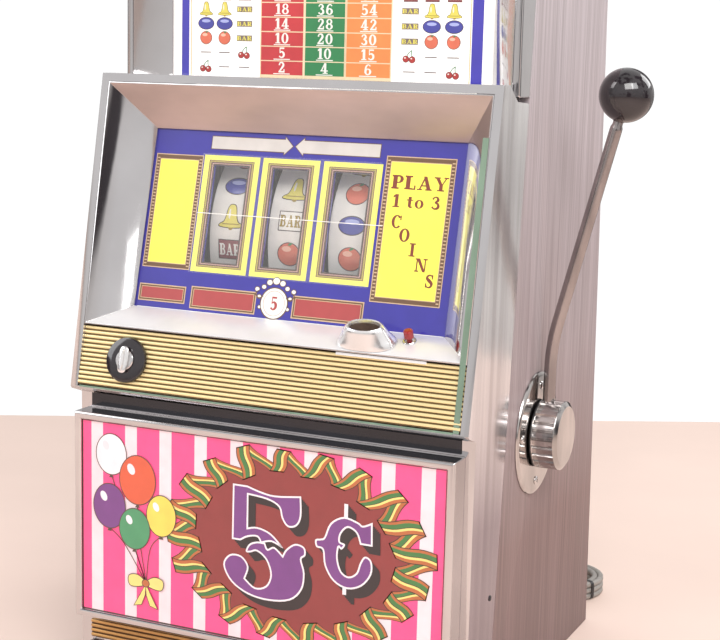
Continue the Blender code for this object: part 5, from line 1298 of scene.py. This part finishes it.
def make_handle():
    y, z = -0.010, 0.263
    axis = Matrix.Translation((0, y, z))
    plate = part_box("handle_plate")
    inner, outer = plate[0].x, plate[1].x
    disc = [(0.0145, inner), (0.0145, outer - 0.0002), (0.0560, outer), (0.0585, outer - 0.0004),
            (0.0603, outer - 0.0014), (0.0609, inner + 0.0004), (0.0606, inner)]
    turned_piece("handle_plate_disc", disc, axis, "cabinet", HUB, ("handle_plate",), 96)
    for number, turn in enumerate((0.06, math.pi / 2 + 0.06, math.pi + 0.06, -math.pi / 2 + 0.06)):
        spot = (outer - 0.0002, y + 0.0475 * math.sin(turn), z + 0.0475 * math.cos(turn))
        screw_head(f"plate_screw_{number + 1}", along((1, 0, 0), spot), 0.0042, "cabinet")
    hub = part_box("handle_hub")
    x0, x1 = hub[0].x, hub[1].x
    gasket = [(0.0200, x0 + 0.0001), (0.0334, x0 + 0.0001), (0.0334, x0 + 0.0009), (0.0200, x0 + 0.0009)]
    turned_piece("hub_gasket", gasket, axis, "handle", BLACK_SOFT, (), 64)

    count = 26

    def flutes(t, radius, x):
        if radius < 0.0330 or x > x1 - 0.0046 or x < x0 + 0.0024:
            return radius
        share = t * count / math.tau % 1
        return radius - (0.0001 if share < 0.6 else 0.0019 * math.sin(math.pi * (share - 0.6) / 0.4))

    body = [(0.0, x0 + 0.0011), (0.0334, x0 + 0.0011), (0.0338, x0 + 0.0015), (0.0338, x0 + 0.0022)]
    start, end = x0 + 0.0026, x1 - 0.0048
    body += [(0.0337, start + (end - start) * i / 4) for i in range(5)]
    body += [(0.0338, x1 - 0.0044), (0.0336, x1 - 0.0040), (0.0300, x1 - 0.0016), (0.0292, x1 - 0.0012),
             (0.0, x1 - 0.0001)]
    turned_piece("hub_fluted", body, axis, "handle", HUB, ("handle_hub",), 260, flutes, 24)
    make_rod(y, z)


def make_rod(y, z):
    ball_low, ball_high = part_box("handle_ball")
    ball = (Vector(ball_low) + Vector(ball_high)) / 2
    bend = Vector((0.2208, y, z + 0.0890))
    lean = (ball - bend).normalized()
    soft = 0.024  # how far from the bend the curve starts and ends
    before, after = bend - Vector((0, 0, soft)), bend + lean * soft
    route = [Vector((bend.x, y, z + 0.012)), Vector((bend.x, y, z + 0.045)), before]
    for i in range(1, 8):
        t = i / 8
        route.append((1 - t) ** 2 * before + 2 * t * (1 - t) * bend + t * t * after)
    route += [after] + [ball - lean * short for short in (0.034, 0.031, 0.0285, 0.020)]
    widths = [1.0] * (len(route) - 3) + [0.97, 0.80, 0.80]
    tube("handle_lever", route, 0.0060, 8, "handle", ROD, ("handle_rod",), widths)
    radius = (ball_high.z - ball_low.z) / 2
    knob = [(radius * math.sin(math.pi * i / 32), -radius * math.cos(math.pi * i / 32)) for i in range(2, 32)]
    knob = [(0, -radius), (0.0058, -radius + 0.0004)] + knob + [(0, radius)]
    turned_piece("handle_knob", knob, along(lean, ball), "handle", BLACK, ("handle_ball",), 64, smooth=60)


make_handle()


# Rear


def make_rear():
    seat = along((0, 0.9987, 0.0509), (0.1605, 0.18361, 0.41945))
    face = [(0, -0.013), (0.0080, -0.013), (0.0080, 0.0002), (0.0110, 0.0004), (0.0112, 0.0014),
            (0.0100, 0.0028), (0.0072, 0.0034), (0.0066, 0.0028), (0, 0.0028)]
    turned_piece("rear_lock_face", face, seat, "back_lock", CHROME_DULL, (), 40)
    paint(STEEL, "rear_lock")
    outwards = Matrix.Rotation(math.pi / 2, 4, "Y") @ raised(0.0030)
    # painted shade in the keyway
    patch("rear_key_slot", HOLE_SHADE, seat @ outwards, "back_lock", (-0.6, -3.2, 0.6, 3.2))


make_rear()


# Floor and light


def make_stage():
    floor = mesh_of("floor", [(-5, -5, 0), (5, -5, 0), (5, 3.93, 0), (-5, -1.49, 0)], [(0, 1, 2, 3)])
    look = finish("floor_pale", rgb(240, 216, 204), 0.62, 0.0, 0.03, 3, rough_spread=0.1)
    obj = put("floor", floor, None, look)
    obj.location.z = -0.0002


def area_light(name, at, target, size, power, colour=(1, 1, 1)):
    data = bpy.data.lights.new(name, "AREA")
    data.shape = "RECTANGLE"
    data.size, data.size_y = size
    data.energy = power
    data.color = colour
    lamp = bpy.data.objects.new(name, data)
    bpy.context.scene.collection.objects.link(lamp)
    lamp.location = at
    lamp.rotation_euler = (Vector(target) - Vector(at)).to_track_quat("-Z", "Y").to_euler()


def make_lights():
    area_light("key", (1.2, -1.9, 2.3), (0, 0, 0.4), (1.6, 1.2), 47, (1.0, 0.985, 0.965))
    area_light("fill", (-1.9, -1.2, 1.5), (0, 0, 0.4), (1.2, 1.6), 20, (0.97, 0.98, 1.0))
    area_light("back", (1.5, 1.6, 1.8), (0.1, 0, 0.4), (1.2, 1.2), 20)
    area_light("side", (1.05, -0.55, 1.35), (0.2, 0.03, 0.72), (0.5, 0.5), 5)


def make_world():
    """White to the camera. What the chrome reflects is paler above, with dark patches."""
    world = bpy.data.worlds.new("studio")
    bpy.context.scene.world = world
    world.use_nodes = True
    tree = world.node_tree
    tree.nodes.clear()
    way = add_node(tree, "TexCoord", "Generated")
    rise = add_node(tree, "SeparateXYZ", "Z", {"Vector": way})
    rise = add_node(tree, "MapRange", "Result", {"Value": rise, "From Min": -1, "From Max": 1})
    sky = ramp(tree, rise, (0.30, (0.50, 0.42, 0.39)), (0.50, (0.80, 0.78, 0.77)), (0.62, (0.95, 0.95, 0.96)),
               (0.85, (1.0, 1.0, 1.0)))
    patches = add_node(tree, "TexNoise", "Fac", {"Vector": way, "W": 2.0, "Scale": 1.7, "Detail": 2.0},
                       noise_dimensions="4D")
    patches = ramp(tree, patches, (0.44, (0.10, 0.09, 0.10)), (0.50, (1.1, 1.09, 1.08)))
    reflected = {"Color": multiply(tree, sky, patches), "Strength": 0.80}
    seen = {"Color": (1, 1, 1, 1), "Strength": 1.05}
    choose = {"Fac": add_node(tree, "LightPath", "Is Camera Ray"),
              1: add_node(tree, "Background", "Background", reflected),
              2: add_node(tree, "Background", "Background", seen)}
    add_node(tree, "OutputWorld", None, {"Surface": add_node(tree, "MixShader", "Shader", choose)})


make_stage()
make_lights()
make_world()
